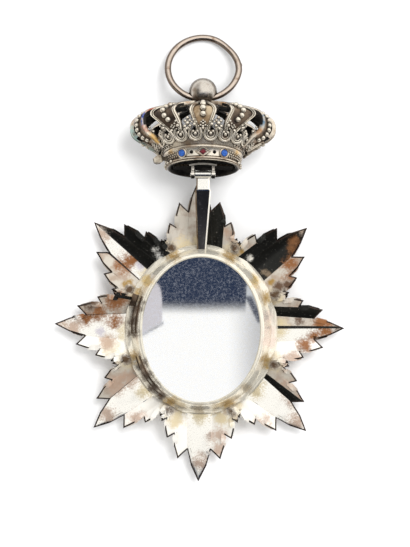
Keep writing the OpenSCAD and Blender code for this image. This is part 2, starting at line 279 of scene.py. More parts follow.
class Shader(Nodes):
    """A material and its nodes."""

    def __init__(self, name):
        self.material = bpy.data.materials.new(name)
        self.material.use_nodes = True
        super().__init__(self.material.node_tree)
        self.surface = self.nodes["Principled BSDF"]
        self.place = self.node("ShaderNodeTexCoord").outputs["Object"]

    def noise(self, size_mm, detail=4, roughness=0.6, place=None):
        made = self.node("ShaderNodeTexNoise")
        self.plug(place or self.place, made.inputs["Vector"])
        made.inputs["Scale"].default_value = 1 / (size_mm * MM)
        made.inputs["Detail"].default_value = detail
        made.inputs["Roughness"].default_value = roughness
        return made.outputs["Fac"]

    def near(self, middle, radius_mm):
        """1 at a place, falling to 0 at a radius. Height counts only a tenth."""
        low = self.node("ShaderNodeVectorMath", operation="MULTIPLY")
        self.plug(self.place, low.inputs[0])
        low.inputs[1].default_value = (1, 1, 0.1)
        made = self.node("ShaderNodeVectorMath", operation="DISTANCE")
        self.plug(low.outputs["Vector"], made.inputs[0])
        made.inputs[1].default_value = (middle[0], middle[1], middle[2] * 0.1)
        return self.span(made.outputs["Value"], 0.0, radius_mm * MM, 1.0, 0.0)

    def bump(self, height, strength, distance_mm):
        made = self.node("ShaderNodeBump")
        made.inputs["Strength"].default_value = strength
        made.inputs["Distance"].default_value = distance_mm * MM
        self.plug(height, made.inputs["Height"])
        self.links.new(made.outputs["Normal"], self.surface.inputs["Normal"])


# %% One silver for everything
CLEAN = (0.90, 0.885, 0.85)
PINKISH = (0.52, 0.35, 0.25)
RECESS_DARK = (0.035, 0.03, 0.028)


def silver(name, clean=CLEAN, polish=0.12, tarnish=PINKISH, amount=0.35, grain=0.25, recess_darkening=0.0, patches=(),
           metal=1.0, painted_side_shade=None):
    """Clean silver with an amount of tarnish, a grain of fine relief and darkening in its recesses.

    patches: (places, radius in mm, colour, strength). painted_side_shade: where the sides painted dark as
    shade end and the top that faces up begins.
    """
    s = Shader(name)
    blotch = s.noise(2.2, detail=6)
    speck = s.noise(0.35, detail=3)
    colour = s.mix(s.span(blotch, 0.62 - amount * 0.4, 0.8 - amount * 0.3), clean, tarnish)
    rough = s.span(blotch, 0.45, 0.75, polish, polish + 0.12)
    grains = s.math("ADD", s.math("MULTIPLY", blotch, 1.8), s.math("MULTIPLY", speck, 1.1))
    for places, radius, stain, strength in patches:
        spot = s.any_of([s.near(place, radius) for place in places])
        uneven = s.math("MULTIPLY", s.math("SUBTRACT", grains, 1.5), s.span(spot, 0.0, 0.4, 0.0, 1.4))
        ragged = s.math("ADD", spot, uneven)
        halo = tuple(0.5 * a + 0.5 * b for a, b in zip(clean, stain))
        colour = s.mix(s.span(ragged, 0.0, 0.55, 0.0, strength), colour, halo)
        colour = s.mix(s.span(ragged, 0.3, 1.0, 0.0, strength), colour, stain)
        rough = s.math("ADD", rough, s.span(ragged, 0.2, 0.9, 0.0, 0.12))
    colour = s.mix(s.span(speck, 0.62, 0.74, 0.0, 0.35), colour, tarnish)
    if painted_side_shade:
        # Sides that face away from up are painted darker, as shade
        up_facing = s.node("ShaderNodeAttribute", attribute_name="up_facing").outputs["Fac"]
        dark = tuple(0.2 * value for value in tarnish)
        colour = s.mix(s.span(up_facing, painted_side_shade[0], painted_side_shade[1], 0.95, 0.0), colour, dark)
    # Darker where ambient occlusion finds a recess
    if recess_darkening:
        recess = s.node("ShaderNodeAmbientOcclusion", samples=8)
        recess.inputs["Distance"].default_value = 1.1 * MM
        colour = s.mix(s.span(recess.outputs["AO"], 0.25, 0.92, recess_darkening, 0.0), colour, RECESS_DARK)
    s.plug(colour, s.surface.inputs["Base Color"])
    s.plug(rough, s.surface.inputs["Roughness"])
    s.plug(s.span(speck, 0.5, 0.72, metal, metal - 0.14), s.surface.inputs["Metallic"])
    s.bump(s.math("ADD", speck, s.math("MULTIPLY", blotch, 0.5)), grain, 0.05)
    return s.material


# %% Places on the star
def at(x, y, z=3.0):
    """A place in the shared frame, from millimetres across and up from the star's middle."""
    return tuple(star_middle + Vector((x, y, z)) * MM)


def spots(*pairs, z=3.0):
    """Places at one height, from pairs of millimetres across and up."""
    return [at(x, y, z) for x, y in pairs]


def on_oval(rx, ry, z, angles):
    """Places on an oval round the star's middle, by their angle from the east."""
    return [at(rx * math.cos(math.radians(angle)), ry * math.sin(math.radians(angle)), z) for angle in angles]


# The crevices where two rays meet at the casing, by their angle from the east
VALLEYS = (23, 66, 113, 154, 200, 246, 292, 337)
print("the valleys between the rays are at", VALLEYS, "degrees")

# %% Stains on the star
ORANGE, BROWN, LILAC = (0.29, 0.11, 0.03), (0.12, 0.06, 0.03), (0.66, 0.62, 0.68)
PALE_GOLD, DEEP_GOLD = (0.74, 0.62, 0.38), (0.38, 0.23, 0.06)
OLD_SOLDER, CREVICE_SHADE = (0.42, 0.28, 0.10), (0.10, 0.055, 0.025)
orange_stain = spots((-13.5, 13.6), (-14.6, 12.2), (-22.0, 2.7), (-19.6, 3.7), (-17.0, 4.9), (-15.2, 5.7),
                     (15.6, 14.8), (16.4, 12.4), (17.2, 10.0), (17.9, 8.2), (19.6, 15.6), (21.5, -1.4),
                     (24.0, -0.6), (19.8, -3.0), (22.8, 1.2), (24.6, 1.2), (-16.8, 1.6))
brown_stain = spots((14.8, 8.0), (18.6, 1.6), (11.6, 11.0), (-21.6, 4.2), (20.3, 9.0), (-9.0, 10.6),
                    (16.6, 8.4), (18.2, 8.8), (26.0, 0.3), (-20.4, 5.4))
pink_stain = spots((18.2, -17.6), (16.0, -11.4), (3.0, -20.2), (3.4, -22.6), (-0.4, -25.4), (-17.6, -16.4),
                   (-15.8, -10.6), (-13.6, -9.4), (18.2, -13.4), (-24.6, 0.3), (-18.6, 18.2), (5.4, 18.0),
                   (12.0, -17.8), (-12.4, -17.0), (18.8, 18.8), (17.2, -6.0), (-18.0, -2.2), (-26.0, 0.6))
lilac_stain = spots((-19.2, -0.4), (-11.6, 11.9))
gold_stain = on_oval(14.9, 1.08 * 14.9, 3.5, [360 * i / 16 for i in range(16)])
gold_stain += spots((-17.6, -3.2), (-3.4, 15.9), (5.8, 15.4), (-4.6, -16.8), (4.4, -16.8))
deep_gold = spots((6.9, 16.0), (7.7, 14.8), (-4.9, -14.8), (4.8, -15.6), (-13.5, 9.1), (-12.6, 8.0),
                  (-14.4, 8.4), (13.4, 8.9), (14.3, 7.8), (-8.6, 14.0))
# Old solder round each valley, and painted shade, darkest in the crevice itself
solder_and_crevice_shade = [(on_oval(13.8, 15.4, 3.9, VALLEYS), 2.5, OLD_SOLDER, 0.9),
                  (on_oval(15.2, 16.9, 3.2, VALLEYS), 1.7, CREVICE_SHADE, 0.95)]
stains = [(gold_stain, 3.2, PALE_GOLD, 0.8),
          (deep_gold, 1.2, DEEP_GOLD, 0.95),
          (orange_stain, 3.2, ORANGE, 0.95),
          (brown_stain, 1.9, BROWN, 0.9),
          (pink_stain, 3.2, PINKISH, 0.7),
          (lilac_stain, 1.6, LILAC, 0.9),
          (spots((2.0, 28.9)), 1.1, BROWN, 0.9)] + solder_and_crevice_shade
print(sum(len(stain[0]) for stain in stains), "stained places on the star")

# %% The star's plain silver, and painted reflection tones for single facets
# Painted reflections for single facets: black with light specks, grey, and white, the last two with
# the star's stains. These two are matt, so they stay light where plain silver would mirror the dark
# side of the room.
# The light patches on the black facets are painted highlights; the orange and the grey-brown ones are stains
painted_glints_and_stains = [(spots((-8.7, 15.0), (-8.2, 14.2), (-7.8, 13.5)), 1.3, (0.97, 0.95, 0.88), 1.0),
                (spots((-18.8, 18.8)), 2.2, (0.74, 0.64, 0.55), 1.0),
                (spots((18.9, 18.9)), 1.5, (0.60, 0.48, 0.38), 1.0),
                (spots((17.8, 16.8), (17.6, 15.2), (17.2, 13.6), (16.4, 12.4)), 2.0, (0.22, 0.095, 0.035),
                 1.0),
                (spots((9.2, 13.6)), 1.1, (0.90, 0.86, 0.76), 1.0),
                (spots((11.9, 11.0), (12.7, 10.4)), 1.1, (0.24, 0.18, 0.12), 1.0)]
star_silver = silver("struck_silver", clean=(0.97, 0.95, 0.89), tarnish=(0.86, 0.79, 0.66), amount=0.0,
                     grain=0.03, patches=stains)
painted_dark_reflection = silver("painted_dark_reflection", clean=(0.012, 0.012, 0.010), polish=0.3, tarnish=(0.34, 0.32, 0.28),
                       amount=-0.4, grain=0.7, metal=0.6, patches=painted_glints_and_stains)
painted_grey_reflection = silver("painted_grey_reflection", clean=(0.62, 0.57, 0.49), polish=0.35, tarnish=(0.46, 0.36, 0.28),
                        amount=0.5, grain=0.15, metal=0.4, patches=stains)
painted_white_reflection = silver("painted_white_reflection", clean=(0.94, 0.91, 0.84), polish=0.35, tarnish=(0.80, 0.70, 0.56),
                         amount=0.0, grain=0.1, metal=0.3, patches=stains)
# A dark line of painted shade for the rays' edges and some creases
edge_shade_silver = silver("painted_shade_edge", clean=(0.07, 0.05, 0.04), polish=0.35, tarnish=(0.03, 0.022, 0.02),
                     amount=0.5, metal=0.9)
print("silvers for the star are mixed")


# %% The casing's silver, stained, and painted dark on its west side as a reflection
def on_wall(*angles):
    """Places on the casing's wall, by their angle from the east."""
    return on_oval(12.9, 15.0, 5.0, angles)


# The first entry paints the west and south-west wall dark, as the reflection of the dark side of the room
wall_stains_and_painted_reflection = [(on_wall(157, 165, 173, 181, 206, 216, 226, 236), 2.4, (0.10, 0.07, 0.05), 0.95),
               (on_wall(252, 268, 284, 300, 312), 2.0, (0.50, 0.42, 0.30), 0.85),
               (on_wall(143, 38, 247, 290), 2.2, (0.66, 0.47, 0.17), 0.8),
               (on_wall(8, 0, 352), 2.4, (0.80, 0.66, 0.57), 0.9)]
casing_silver = silver("casing_silver", clean=(0.84, 0.79, 0.67), polish=0.16, tarnish=(0.82, 0.72, 0.52),
                       amount=0.12, metal=0.5, patches=wall_stains_and_painted_reflection + solder_and_crevice_shade)
wall_painted_dark_reflection = silver("wall_painted_dark_reflection", clean=(0.13, 0.09, 0.06), polish=0.3, tarnish=(0.45, 0.36, 0.26),
                    amount=0.1, metal=0.85)
print(sum(len(stain[0]) for stain in wall_stains_and_painted_reflection), "stained places on the casing's wall")

# %% [markdown]
# ## The rays
#
# Each ray is one leaf of thin sheet, struck over a die: a wide groove from the casing to its tip, and
# three smaller blades stepping down on each side like shingles. The outline is filed by hand, so each
# ray has its own direction and length. The sheet is laid from the casing's foot out to the outline in
# straight lines, because that is how the folds run, and then gets its thickness. On the real star
# each facet mirrors one part of a room. The room here can't give all those tones, so a short table
# paints single facets with a dark, grey or white painted reflection, or a line of painted shade.

# %% The rays' directions, facets and blades
# Direction, extra length, how much flatter the trough's floor is in the left and in the right half, and bow
RAYS = [(0.4, -0.9, 1.1, 0.1, -0.2),
        (43.8, -0.2, 0.0, 0.2, -0.9),
        (91.0, 0.3, 0.2, 0.0, -0.9),
        (135.0, 0.7, 0.2, 0.0, -0.9),
        (177.8, -0.2, 0.1, 1.1, -0.2),
        (222.4, -0.4, 1.0, 1.1, 0.2),
        (268.9, 0.8, 1.1, 1.1, 0.3),
        (315.9, -0.3, 1.1, 1.0, 0.2)]
EVEN_GAP = 22.5
LEFT, RIGHT = 1, -1
# Material 0 of a ray is plain silver, and these are the others
SHADE_LINE, PAINTED_DARK, PAINTED_GREY, PAINTED_WHITE = 1, 2, 3, 4
# Facets with a painted reflection or a line of painted shade, for each ray: its half, first and last
# share of the foot, and material. The first that fits counts.
FACETS = [[(RIGHT, 0.22, 0.5, PAINTED_WHITE), (LEFT, 0.0, 0.05, PAINTED_DARK), (LEFT, 0.05, 0.22, PAINTED_GREY),
           (LEFT, 0.22, 0.38, PAINTED_DARK), (LEFT, 0.38, 0.5, PAINTED_GREY)],
          [(RIGHT, 0.0, 0.22, PAINTED_DARK), (LEFT, 0.0, 0.38, PAINTED_DARK), (LEFT, 0.38, 0.5, PAINTED_GREY),
           (RIGHT, 0.0, 0.5, PAINTED_GREY)],
          [(LEFT, 0.0, 0.5, PAINTED_GREY), (RIGHT, 0.0, 0.38, PAINTED_DARK), (RIGHT, 0.38, 0.5, PAINTED_GREY)],
          [(LEFT, 0.22, 0.236, SHADE_LINE), (LEFT, 0.22, 0.5, PAINTED_GREY), (RIGHT, 0.0, 0.5, PAINTED_DARK)],
          [(RIGHT, 0.22, 0.227, SHADE_LINE), (LEFT, 0.22, 0.5, PAINTED_WHITE), (RIGHT, 0.22, 0.44, PAINTED_GREY),
           (RIGHT, 0.44, 0.5, PAINTED_DARK)],
          [(RIGHT, 0.22, 0.227, SHADE_LINE), (LEFT, 0.22, 0.5, PAINTED_WHITE), (RIGHT, 0.22, 0.5, PAINTED_GREY)],
          [(RIGHT, 0.22, 0.5, PAINTED_WHITE), (LEFT, 0.22, 0.44, PAINTED_WHITE), (LEFT, 0.44, 0.5, PAINTED_GREY)],
          [(RIGHT, 0.22, 0.5, PAINTED_WHITE), (LEFT, 0.22, 0.30, PAINTED_DARK), (LEFT, 0.30, 0.5, PAINTED_GREY)]]
RAY_LENGTH = 28.0
# Tip along and across, notch along and across, the notch's fold as a share of the foot, where it starts
BLADES = [(28.0, 0.0, 22.3, 2.0, 0.22, 0.0),
          (23.8, 3.75, 19.4, 4.4, 0.38, 0.62),
          (20.0, 5.7, 16.5, 5.8, 0.45, 0.5),
          (16.9, 6.6, 15.0, 6.21, 0.5, 0.3)]
# How far a blade's edge swells and steps down, the sheet's thickness and its uneven height
SWELL, STEP, SHEET_T, UNEVEN = 0.28, 0.2, 0.45, 0.035
# The sheet's height at the casing, the trough's slope, its groove's roundness and its bend's width
ROOT_Z, SLOPE, GROOVE_R, BEND_W = 2.75, 0.315, 0.3, 0.9
# Half width and half height of the oval where the rays start, and the width of one ray's foot on it
SEAT, FOOT_W = (13.4, 15.1), 11.2
# The line of painted shade along a ray's edge lies between two outlines: how far each is out and down
EDGE_HIGH, EDGE_LOW = (-0.16, 0.0), (0.1, 0.18)
# How deep the blades' folds are, and how soon they are whole
FOLD_DEPTH, FOLD_HASTE = 0.22, 1.8
# From one blade's notch to the start of the next blade, along and across
BLADE_LAP = Vector((-0.1, 0.1))
print(len(RAYS), "rays with", sum(len(facets) for facets in FACETS), "facets of their own finish")


# %% The outline of half a ray
def half_ray():
    """Columns from groove to valley: edge point, foot share, fold height and where the fold starts."""
    columns = []
    inner = None
    for k, (tip_u, tip_v, notch_u, notch_v, share, start) in enumerate(BLADES):
        tip = Vector((tip_u, tip_v))
        notch = Vector((notch_u, notch_v))
        if inner:
            before, start_share, old_start = inner
            # The next blade starts just beside and below the notch of the one before
            low = before + BLADE_LAP
            middle = (low + tip) / 2 + Vector((SWELL * 0.3, SWELL * 0.4))
            columns += [(low, start_share + 0.006, -STEP, old_start),
                        (middle, start_share * 0.75 + share * 0.25, -STEP * 0.5, old_start),
                        (tip, 0.5 * (start_share + share), 0.0, start)]
        else:
            start_share = 0.0
            columns += [(tip, 0.0, 0.0, start)]
        if k < len(BLADES) - 1:
            outer = (tip + notch) / 2 + Vector((SWELL * 0.3, SWELL))
            columns += [(outer, start_share * 0.3 + share * 0.7, STEP * 0.35, start)]
        columns += [(notch, share, STEP * 0.7, start)]
        inner = (notch, share, start)
    return columns


def finer(columns, parts=3):
    """Adds columns between the main ones, but not across the narrow steps."""
    made = []
    for a, b in zip(columns, columns[1:]):
        count = 1 if (a[0] - b[0]).length < 0.2 else parts
        for i in range(count):
            t = i / count
            made.append((a[0].lerp(b[0], t), *(p * (1 - t) + q * t for p, q in zip(a[1:], b[1:]))))
    return made + [columns[-1]]


# %% The trough's height, and each facet's finish
def half_gap(k, side):
    """Half the angle to the next ray on a side."""
    step = (RAYS[(k + side) % len(RAYS)][0] - RAYS[k][0]) * side % 360
    return step / 2


def trough(wide, floor_half, whole_half, flat):
    """Height of the trough at a distance from its groove: its floor, a bend past the fold, then its side."""
    floor = min(wide, floor_half)
    bend = min(max(wide - floor_half, 0.0), BEND_W)
    side = max(wide - floor_half - BEND_W, 0.0)
    rise = (1 - flat) * (math.sqrt(floor * floor + GROOVE_R ** 2) - GROOVE_R)
    steeper = 1 + flat * floor_half / max(whole_half - floor_half - BEND_W, 0.1)
    return SLOPE * (rise + bend + steeper * side)


def ray_columns():
    """The columns of both halves, from the right valley over the groove to the left valley."""
    half = finer(half_ray())
    return [(c, RIGHT) for c in reversed(half[1:])] + [(c, LEFT) for c in half]


def facet_tone(k, column):
    """Which material the facet between a column and the next one has: plain silver, a painted reflection or
    painted shade.
    """
    (a, side), (b, other) = ray_columns()[column:column + 2]
    share = (a[1] + b[1]) / 2
    half = LEFT if side + other > 0 or a[1] < b[1] else RIGHT
    for facet_half, first, last, finish in FACETS[k]:
        if facet_half == half and first <= share <= last:
            return finish
    return 0


# %% The rows of one ray
# Points nearer than this count as one, and a sharp corner isn't mitred further than this allows
SAME_POINT, MITRE = 0.02, 0.45


def hem(row, out, down):
    """Moves the points of an outline square to it, outwards and down."""
    moved = []
    towards = 1 if row[-1].cross(row[0]).z > 0 else -1
    for i, point in enumerate(row):
        before = [other for other in row[:i] if (other - point).xy.length > SAME_POINT][-1:]
        after = [other for other in row[i + 1:] if (other - point).xy.length > SAME_POINT][:1]
        runs = [point - other for other in before] + [other - point for other in after]
        squares = [Vector((-run.y, run.x, 0)).normalized() * towards for run in runs]
        square = sum(squares, Vector()).normalized()
        moved.append(point + square * (out / max(square.dot(squares[0]), MITRE)) - Vector((0, 0, down)))
    return moved


def ray_rows(k, rows=18):
    """Rows of points from the casing out to the edge of one ray."""
    angle, over, flat_left, flat_right, bow = RAYS[k]
    grow = 1 + over / RAY_LENGTH
    table = []
    for (point, share, fold, start), side in ray_columns():
        gap = half_gap(k, side)
        u, v = point.x * grow, point.y * grow * gap / EVEN_GAP * side
        a = math.radians(angle)
        foot_a = math.radians(angle + 2 * gap * share * side)
        foot = Vector((SEAT[0] * math.cos(foot_a), SEAT[1] * math.sin(foot_a), 0))
        edge = Vector((u * math.cos(a) - v * math.sin(a), u * math.sin(a) + v * math.cos(a), 0))
        table.append((foot, edge, share, abs(v), fold, start, flat_left if side > 0 else flat_right))
    made = []
    for j in range(rows + 1):
        s = min(j / (rows - 1), 1)
        row = []
        for foot, edge, share, across, fold, start, flat in table:
            point = foot.lerp(edge, s)
            wide = FOOT_W * share * (1 - s) + across * s
            floor_half = FOOT_W * BLADES[0][4] * (1 - s) + BLADES[0][3] * s
            whole_half = FOOT_W / 2 * (1 - s) + BLADES[3][3] * s
            folded = fold * min(1.0, max(0.0, (s - start) / (1 - start)) * FOLD_HASTE) * FOLD_DEPTH
            point.z = ROOT_Z + trough(wide, floor_half, whole_half, flat) + folded + bow * s * (1 - s)
            row.append(point)
        if s == 1:
            row = hem(row, *(EDGE_LOW if j == rows else EDGE_HIGH))
        made.append(row)
    return made


# %% The rays' sheet
for k in range(len(RAYS)):
    finishes = [facet_tone(k, column) for column in range(len(ray_columns()) - 1)]
    ray = sweep(f"ray_{k}", ray_rows(k), finish=lambda column: finishes[column])
    # The last strip of each ray is the dark line of painted shade along its edge
    for face in ray.data.polygons[1 - len(ray_columns()):]:
        face.material_index = SHADE_LINE
    for vertex in ray.data.vertices:
        x, y, z = vertex.co
        vertex.co.z += UNEVEN * noise.noise(Vector((x, y, k * 7.0)) * 0.4)
    tidy(ray, 1e-5)
    if sum(p.normal.z * p.area for p in ray.data.polygons) < 0:
        ray.data.flip_normals()
    for material in (star_silver, edge_shade_silver, painted_dark_reflection, painted_grey_reflection, painted_white_reflection):
        ray.data.materials.append(material)
    # The rims of plain faces get the dark edge silver, as painted shade
    modify(ray, "SOLIDIFY", thickness=SHEET_T, offset=-1, material_offset_rim=1)
    settle(ray, AT_STAR, "star", star_silver, "star_silver", "star", smooth=28)

# %% [markdown]
# ## The casing
#
# A band of silver soldered to the sheet carries the dish. Its wall leans out towards the foot, where
# the solder has run into a rounded seam. It is turned: an oval is extruded from the rim down the wall
# and under the sheet, and the front rim closes it on the other side.

# %% The casing's wall and rims
RIM_RX, RIM_RY, RIM_Z = 11.6, 14.15, 8.0
wall = [(RIM_RX - 0.17, RIM_RY - 0.17, RIM_Z - 0.35), (RIM_RX - 0.15, RIM_RY - 0.15, RIM_Z - 0.08),
        (RIM_RX - 0.1, RIM_RY - 0.1, RIM_Z), (RIM_RX, RIM_RY - 0.02, RIM_Z - 0.02),
        (RIM_RX + 0.12, RIM_RY + 0.08, RIM_Z - 0.12), (RIM_RX + 0.15, RIM_RY + 0.1, RIM_Z - 0.35),
        (RIM_RX + 0.1, RIM_RY + 0.05, RIM_Z - 0.55), (RIM_RX + 0.35, RIM_RY + 0.25, RIM_Z - 1.0),
        (12.35, 14.65, 6.2), (12.75, 14.9, 5.3), (13.05, 15.05, 4.7), (13.1, 15.1, 4.4), (13.3, 15.25, 4.15),
        (13.75, 15.5, 3.9), (14.1, 15.7, 3.5), (14.3, 15.9, 2.9)]
# The seam of solder: its top and depth, how far it is lifted at a groove and more in a valley, its lumps
SEAM_Z, SEAM_DEPTH, SEAM_LIFT, VALLEY_LIFT, LUMPS = 4.6, 1.7, 0.2, 1.9, 0.12


def bearing(x, y):
    """Angle from the east, from 0 to 360 degrees."""
    return math.degrees(math.atan2(y, x)) % 360


casing = turn("casing", wall, caps=(False, False))
for vertex in casing.data.vertices:
    x, y, z = vertex.co
    if z < SEAM_Z:
        share = (SEAM_Z - z) / SEAM_DEPTH
        off_rays = [(bearing(x, y) - ray[0] + 180) % 360 - 180 for ray in RAYS]
        nearest = min(off for off in off_rays if abs(off) <= 24)
        lift = SEAM_LIFT + VALLEY_LIFT * (abs(nearest) / EVEN_GAP) ** 1.3
        vertex.co.z += share * lift + LUMPS * noise.noise(Vector((x, y, 0)) * 0.9)
first_face = casing.data.polygons[0]
if first_face.normal.dot(first_face.center) < 0:
    casing.data.flip_normals()
casing.data.materials.append(casing_silver)
casing.data.materials.append(wall_painted_dark_reflection)
# Bands on the west and south-west wall are painted dark, as the reflection of the dark side of the room
for face in casing.data.polygons:
    x, y, z = face.center
    in_dark_band = 4.5 < z < 5.4 or 6.6 < z < 7.2
    if in_dark_band and (150 < bearing(x, y) < 184 or 204 < bearing(x, y) < 240):
        face.material_index = 1
modify(casing, "SOLIDIFY", thickness=0.3, offset=-1)
settle(casing, AT_STAR, "star", casing_silver, "star_silver", "star")

# %% The front rim
front = turn("front_casing", [(10.95, 13.45, 1.9), (10.95, 13.45, 0.12), (11.05, 13.55, 0.0),
                              (12.45, 14.85, 0.0), (12.6, 14.95, 0.12), (12.8, 15.1, 2.2),
                              (12.4, 14.6, 2.5), (11.2, 13.7, 2.5)], closed=True)
settle(front, AT_STAR, "star", casing_silver, "star_silver", "star")

# %% [markdown]
# ## The dish and the front medallion
#
# The back plate is a shallow polished dish, so it shows the room upside down. Fine scratches from
# years of wiping blur it. The front isn't seen, so it has a plain low dome.

# %% The dish
DISH_DEPTH, PLATE_T, SET_GAP = 1.5, 0.6, 0.08


def dish_surface():
    s = Shader("polished_dish")
    stretched = s.node("ShaderNodeMapping")
    s.plug(s.place, stretched.inputs["Vector"])
    stretched.inputs["Rotation"].default_value = (0, 0, 0.5)
    stretched.inputs["Scale"].default_value = (1, 6, 1)
    scratches = s.noise(1.6, detail=5, place=stretched.outputs["Vector"])
    dust = s.noise(0.42, detail=4, roughness=0.85)
    lint = s.math("MULTIPLY", s.span(dust, 0.42, 0.66), s.span(s.noise(3.0), 0.3, 0.6, 0.7, 1.0))
    s.plug(s.mix(lint, (0.96, 0.96, 0.95), (0.88, 0.91, 0.97)), s.surface.inputs["Base Color"])
    s.plug(s.span(scratches, 0.3, 0.8, 0.03, 0.10), s.surface.inputs["Roughness"])
    s.plug(s.span(lint, 0.0, 1.0, 0.99, 0.88), s.surface.inputs["Metallic"])
    return s.material


polished = dish_surface()
dish_rx, dish_ry = RIM_RX - 0.17 - SET_GAP, RIM_RY - 0.17 - SET_GAP
dish_low = RIM_Z - 0.1 - DISH_DEPTH


def bowl(rings, low):
    """Rows of a bowl that is low in its middle, through some of 24 rings."""
    return [(dish_rx * i / 24, dish_ry * i / 24, low + DISH_DEPTH * (i / 24) ** 2) for i in rings]


dish = turn("dish", bowl(range(1, 25), dish_low) + bowl((24, 18, 12, 6, 1), dish_low - PLATE_T))
settle(dish, AT_STAR, "star", polished, "polished_silver", "back_plate")

# %% The front medallion
MEDALLION_RX, MEDALLION_RY, MEDALLION_Z = 10.82, 13.32, 1.8
dome = [(MEDALLION_RX * i / 12, MEDALLION_RY * i / 12, 0.2 + 0.9 * (i / 12) ** 2) for i in range(12, 0, -1)]
medallion = turn("medallion", [(MEDALLION_RX, MEDALLION_RY, MEDALLION_Z)] + dome)
settle(medallion, AT_STAR, "star", star_silver, "star_silver", "front_medallion")

# %% [markdown]
# ## The tongue and its knuckle
#
# A strip of silver runs from the casing's wall up to the hinge. Its short end is level plain silver.
# Its long slope is painted dark, as the reflection of the dark side of the room. It starts as a small
# block at the hinge, and the block's near face is extruded three times, down to the wall. The knuckle
# is a short turned tube.

# %% The tongue
TONGUE_T, END_L, FOOT_SHIFT = 0.8, 0.6, -0.3
knuckle_y = (hinge.y - star_middle.y) / MM
knuckle_z = hinge.z / MM
hang_x = (hinge.x - star_middle.x) / MM
flat_z = knuckle_z - 0.85
# Distance up the star, height and half width, from the hinge to the foot
side = [(knuckle_y - 0.3, flat_z, 1.25), (26.6, flat_z, 1.28), (26.3, flat_z, 1.52), (14.7, 3.9, 0.85)]
block_middle = (hang_x, side[0][0], flat_z + TONGUE_T / 2)
tongue = add("tongue", bpy.ops.mesh.primitive_cube_add, size=1, location=block_middle)
bpy.ops.object.transform_apply(location=True, scale=True)
bpy.ops.object.mode_set(mode="EDIT")
bpy.ops.mesh.select_all(action="SELECT")
bpy.ops.transform.resize(value=(side[0][2] * 2, END_L, TONGUE_T), center_override=block_middle)
bpy.ops.mesh.select_all(action="DESELECT")
bpy.ops.object.mode_set(mode="OBJECT")
for face in tongue.data.polygons:
    face.select = face.normal.y < -0.9
bpy.ops.object.mode_set(mode="EDIT")
bpy.ops.mesh.select_mode(type="FACE")
last = (side[0][0] - END_L / 2, flat_z, side[0][2])
for y, z, half in side[1:]:
    bpy.ops.mesh.extrude_region_move(TRANSFORM_OT_translate={"value": (0, y - last[0], z - last[1])})
    bpy.ops.transform.resize(value=(half / last[2], 1, 1), center_override=(hang_x, y, z))
    last = (y, z, half)
bpy.ops.transform.translate(value=(FOOT_SHIFT, 0, 0))
bpy.ops.object.mode_set(mode="OBJECT")
modify(tongue, "BEVEL", width=0.25, segments=1, limit_method="ANGLE", angle_limit=math.radians(50))
# Painted dark reflection for the slope, painted shade in brown for the left bevel, a painted highlight for
# the right
slope_silver = silver("slope_painted_dark_reflection", clean=(0.06, 0.06, 0.07), polish=0.3, tarnish=(0.40, 0.41, 0.46),
                      amount=0.0, grain=0.7, metal=0.9)
brown_silver = silver("brown_silver", clean=(0.34, 0.27, 0.20), polish=0.25, tarnish=(0.16, 0.11, 0.07),
                      amount=0.5)
painted_highlight_edge = silver("painted_highlight_edge", clean=(0.95, 0.91, 0.82), polish=0.3, tarnish=(0.7, 0.6, 0.45),
                     amount=0.1, metal=0.2)
DARK_SLOPE, BROWN_EDGE, BRIGHT_EDGE = 1, 2, 3
for material in (star_silver, slope_silver, brown_silver, painted_highlight_edge):
    tongue.data.materials.append(material)
# The right bevel is painted bright as a highlight, the left bevel brown as shade, the slope and sides dark as
# reflection
for face in tongue.data.polygons:
    if 0.3 < face.normal.x < 0.9 and face.normal.z > 0.3:
        face.material_index = BRIGHT_EDGE
    elif face.normal.x < -0.3 and face.normal.z > 0.3:
        face.material_index = BROWN_EDGE
    elif face.normal.y < -0.2 or abs(face.normal.x) > 0.9:
        face.material_index = DARK_SLOPE
settle(tongue, AT_STAR, "star", star_silver, "star_silver", "star")

# %% The knuckle, a tube round the pin
KNUCKLE_R, KNUCKLE_W, PIN_BORE = 0.85, 3.1, 0.46
half_w = KNUCKLE_W / 2
knuckle = turn("knuckle", [(PIN_BORE, PIN_BORE, -half_w), (KNUCKLE_R - 0.08, KNUCKLE_R - 0.08, -half_w),
                           (KNUCKLE_R, KNUCKLE_R, -half_w + 0.08), (KNUCKLE_R, KNUCKLE_R, half_w - 0.08),
                           (KNUCKLE_R - 0.08, KNUCKLE_R - 0.08, half_w), (PIN_BORE, PIN_BORE, half_w)],
               steps=40, closed=True)
knuckle.matrix_world = Matrix.Rotation(math.pi / 2, 4, "Y")
settle(knuckle, AT_HINGE, "star", star_silver, "star_silver", "star")

# %% [markdown]
# ## The crown
#
# The crown is hollow. A band with set stones forms its mouth, a gallery of little U shaped scrolls with
# pearls flares out from it, and ten half arches swell out over that and meet under the ball. All of it
# is modelled standing up, mouth down, and then laid over at the hinge.

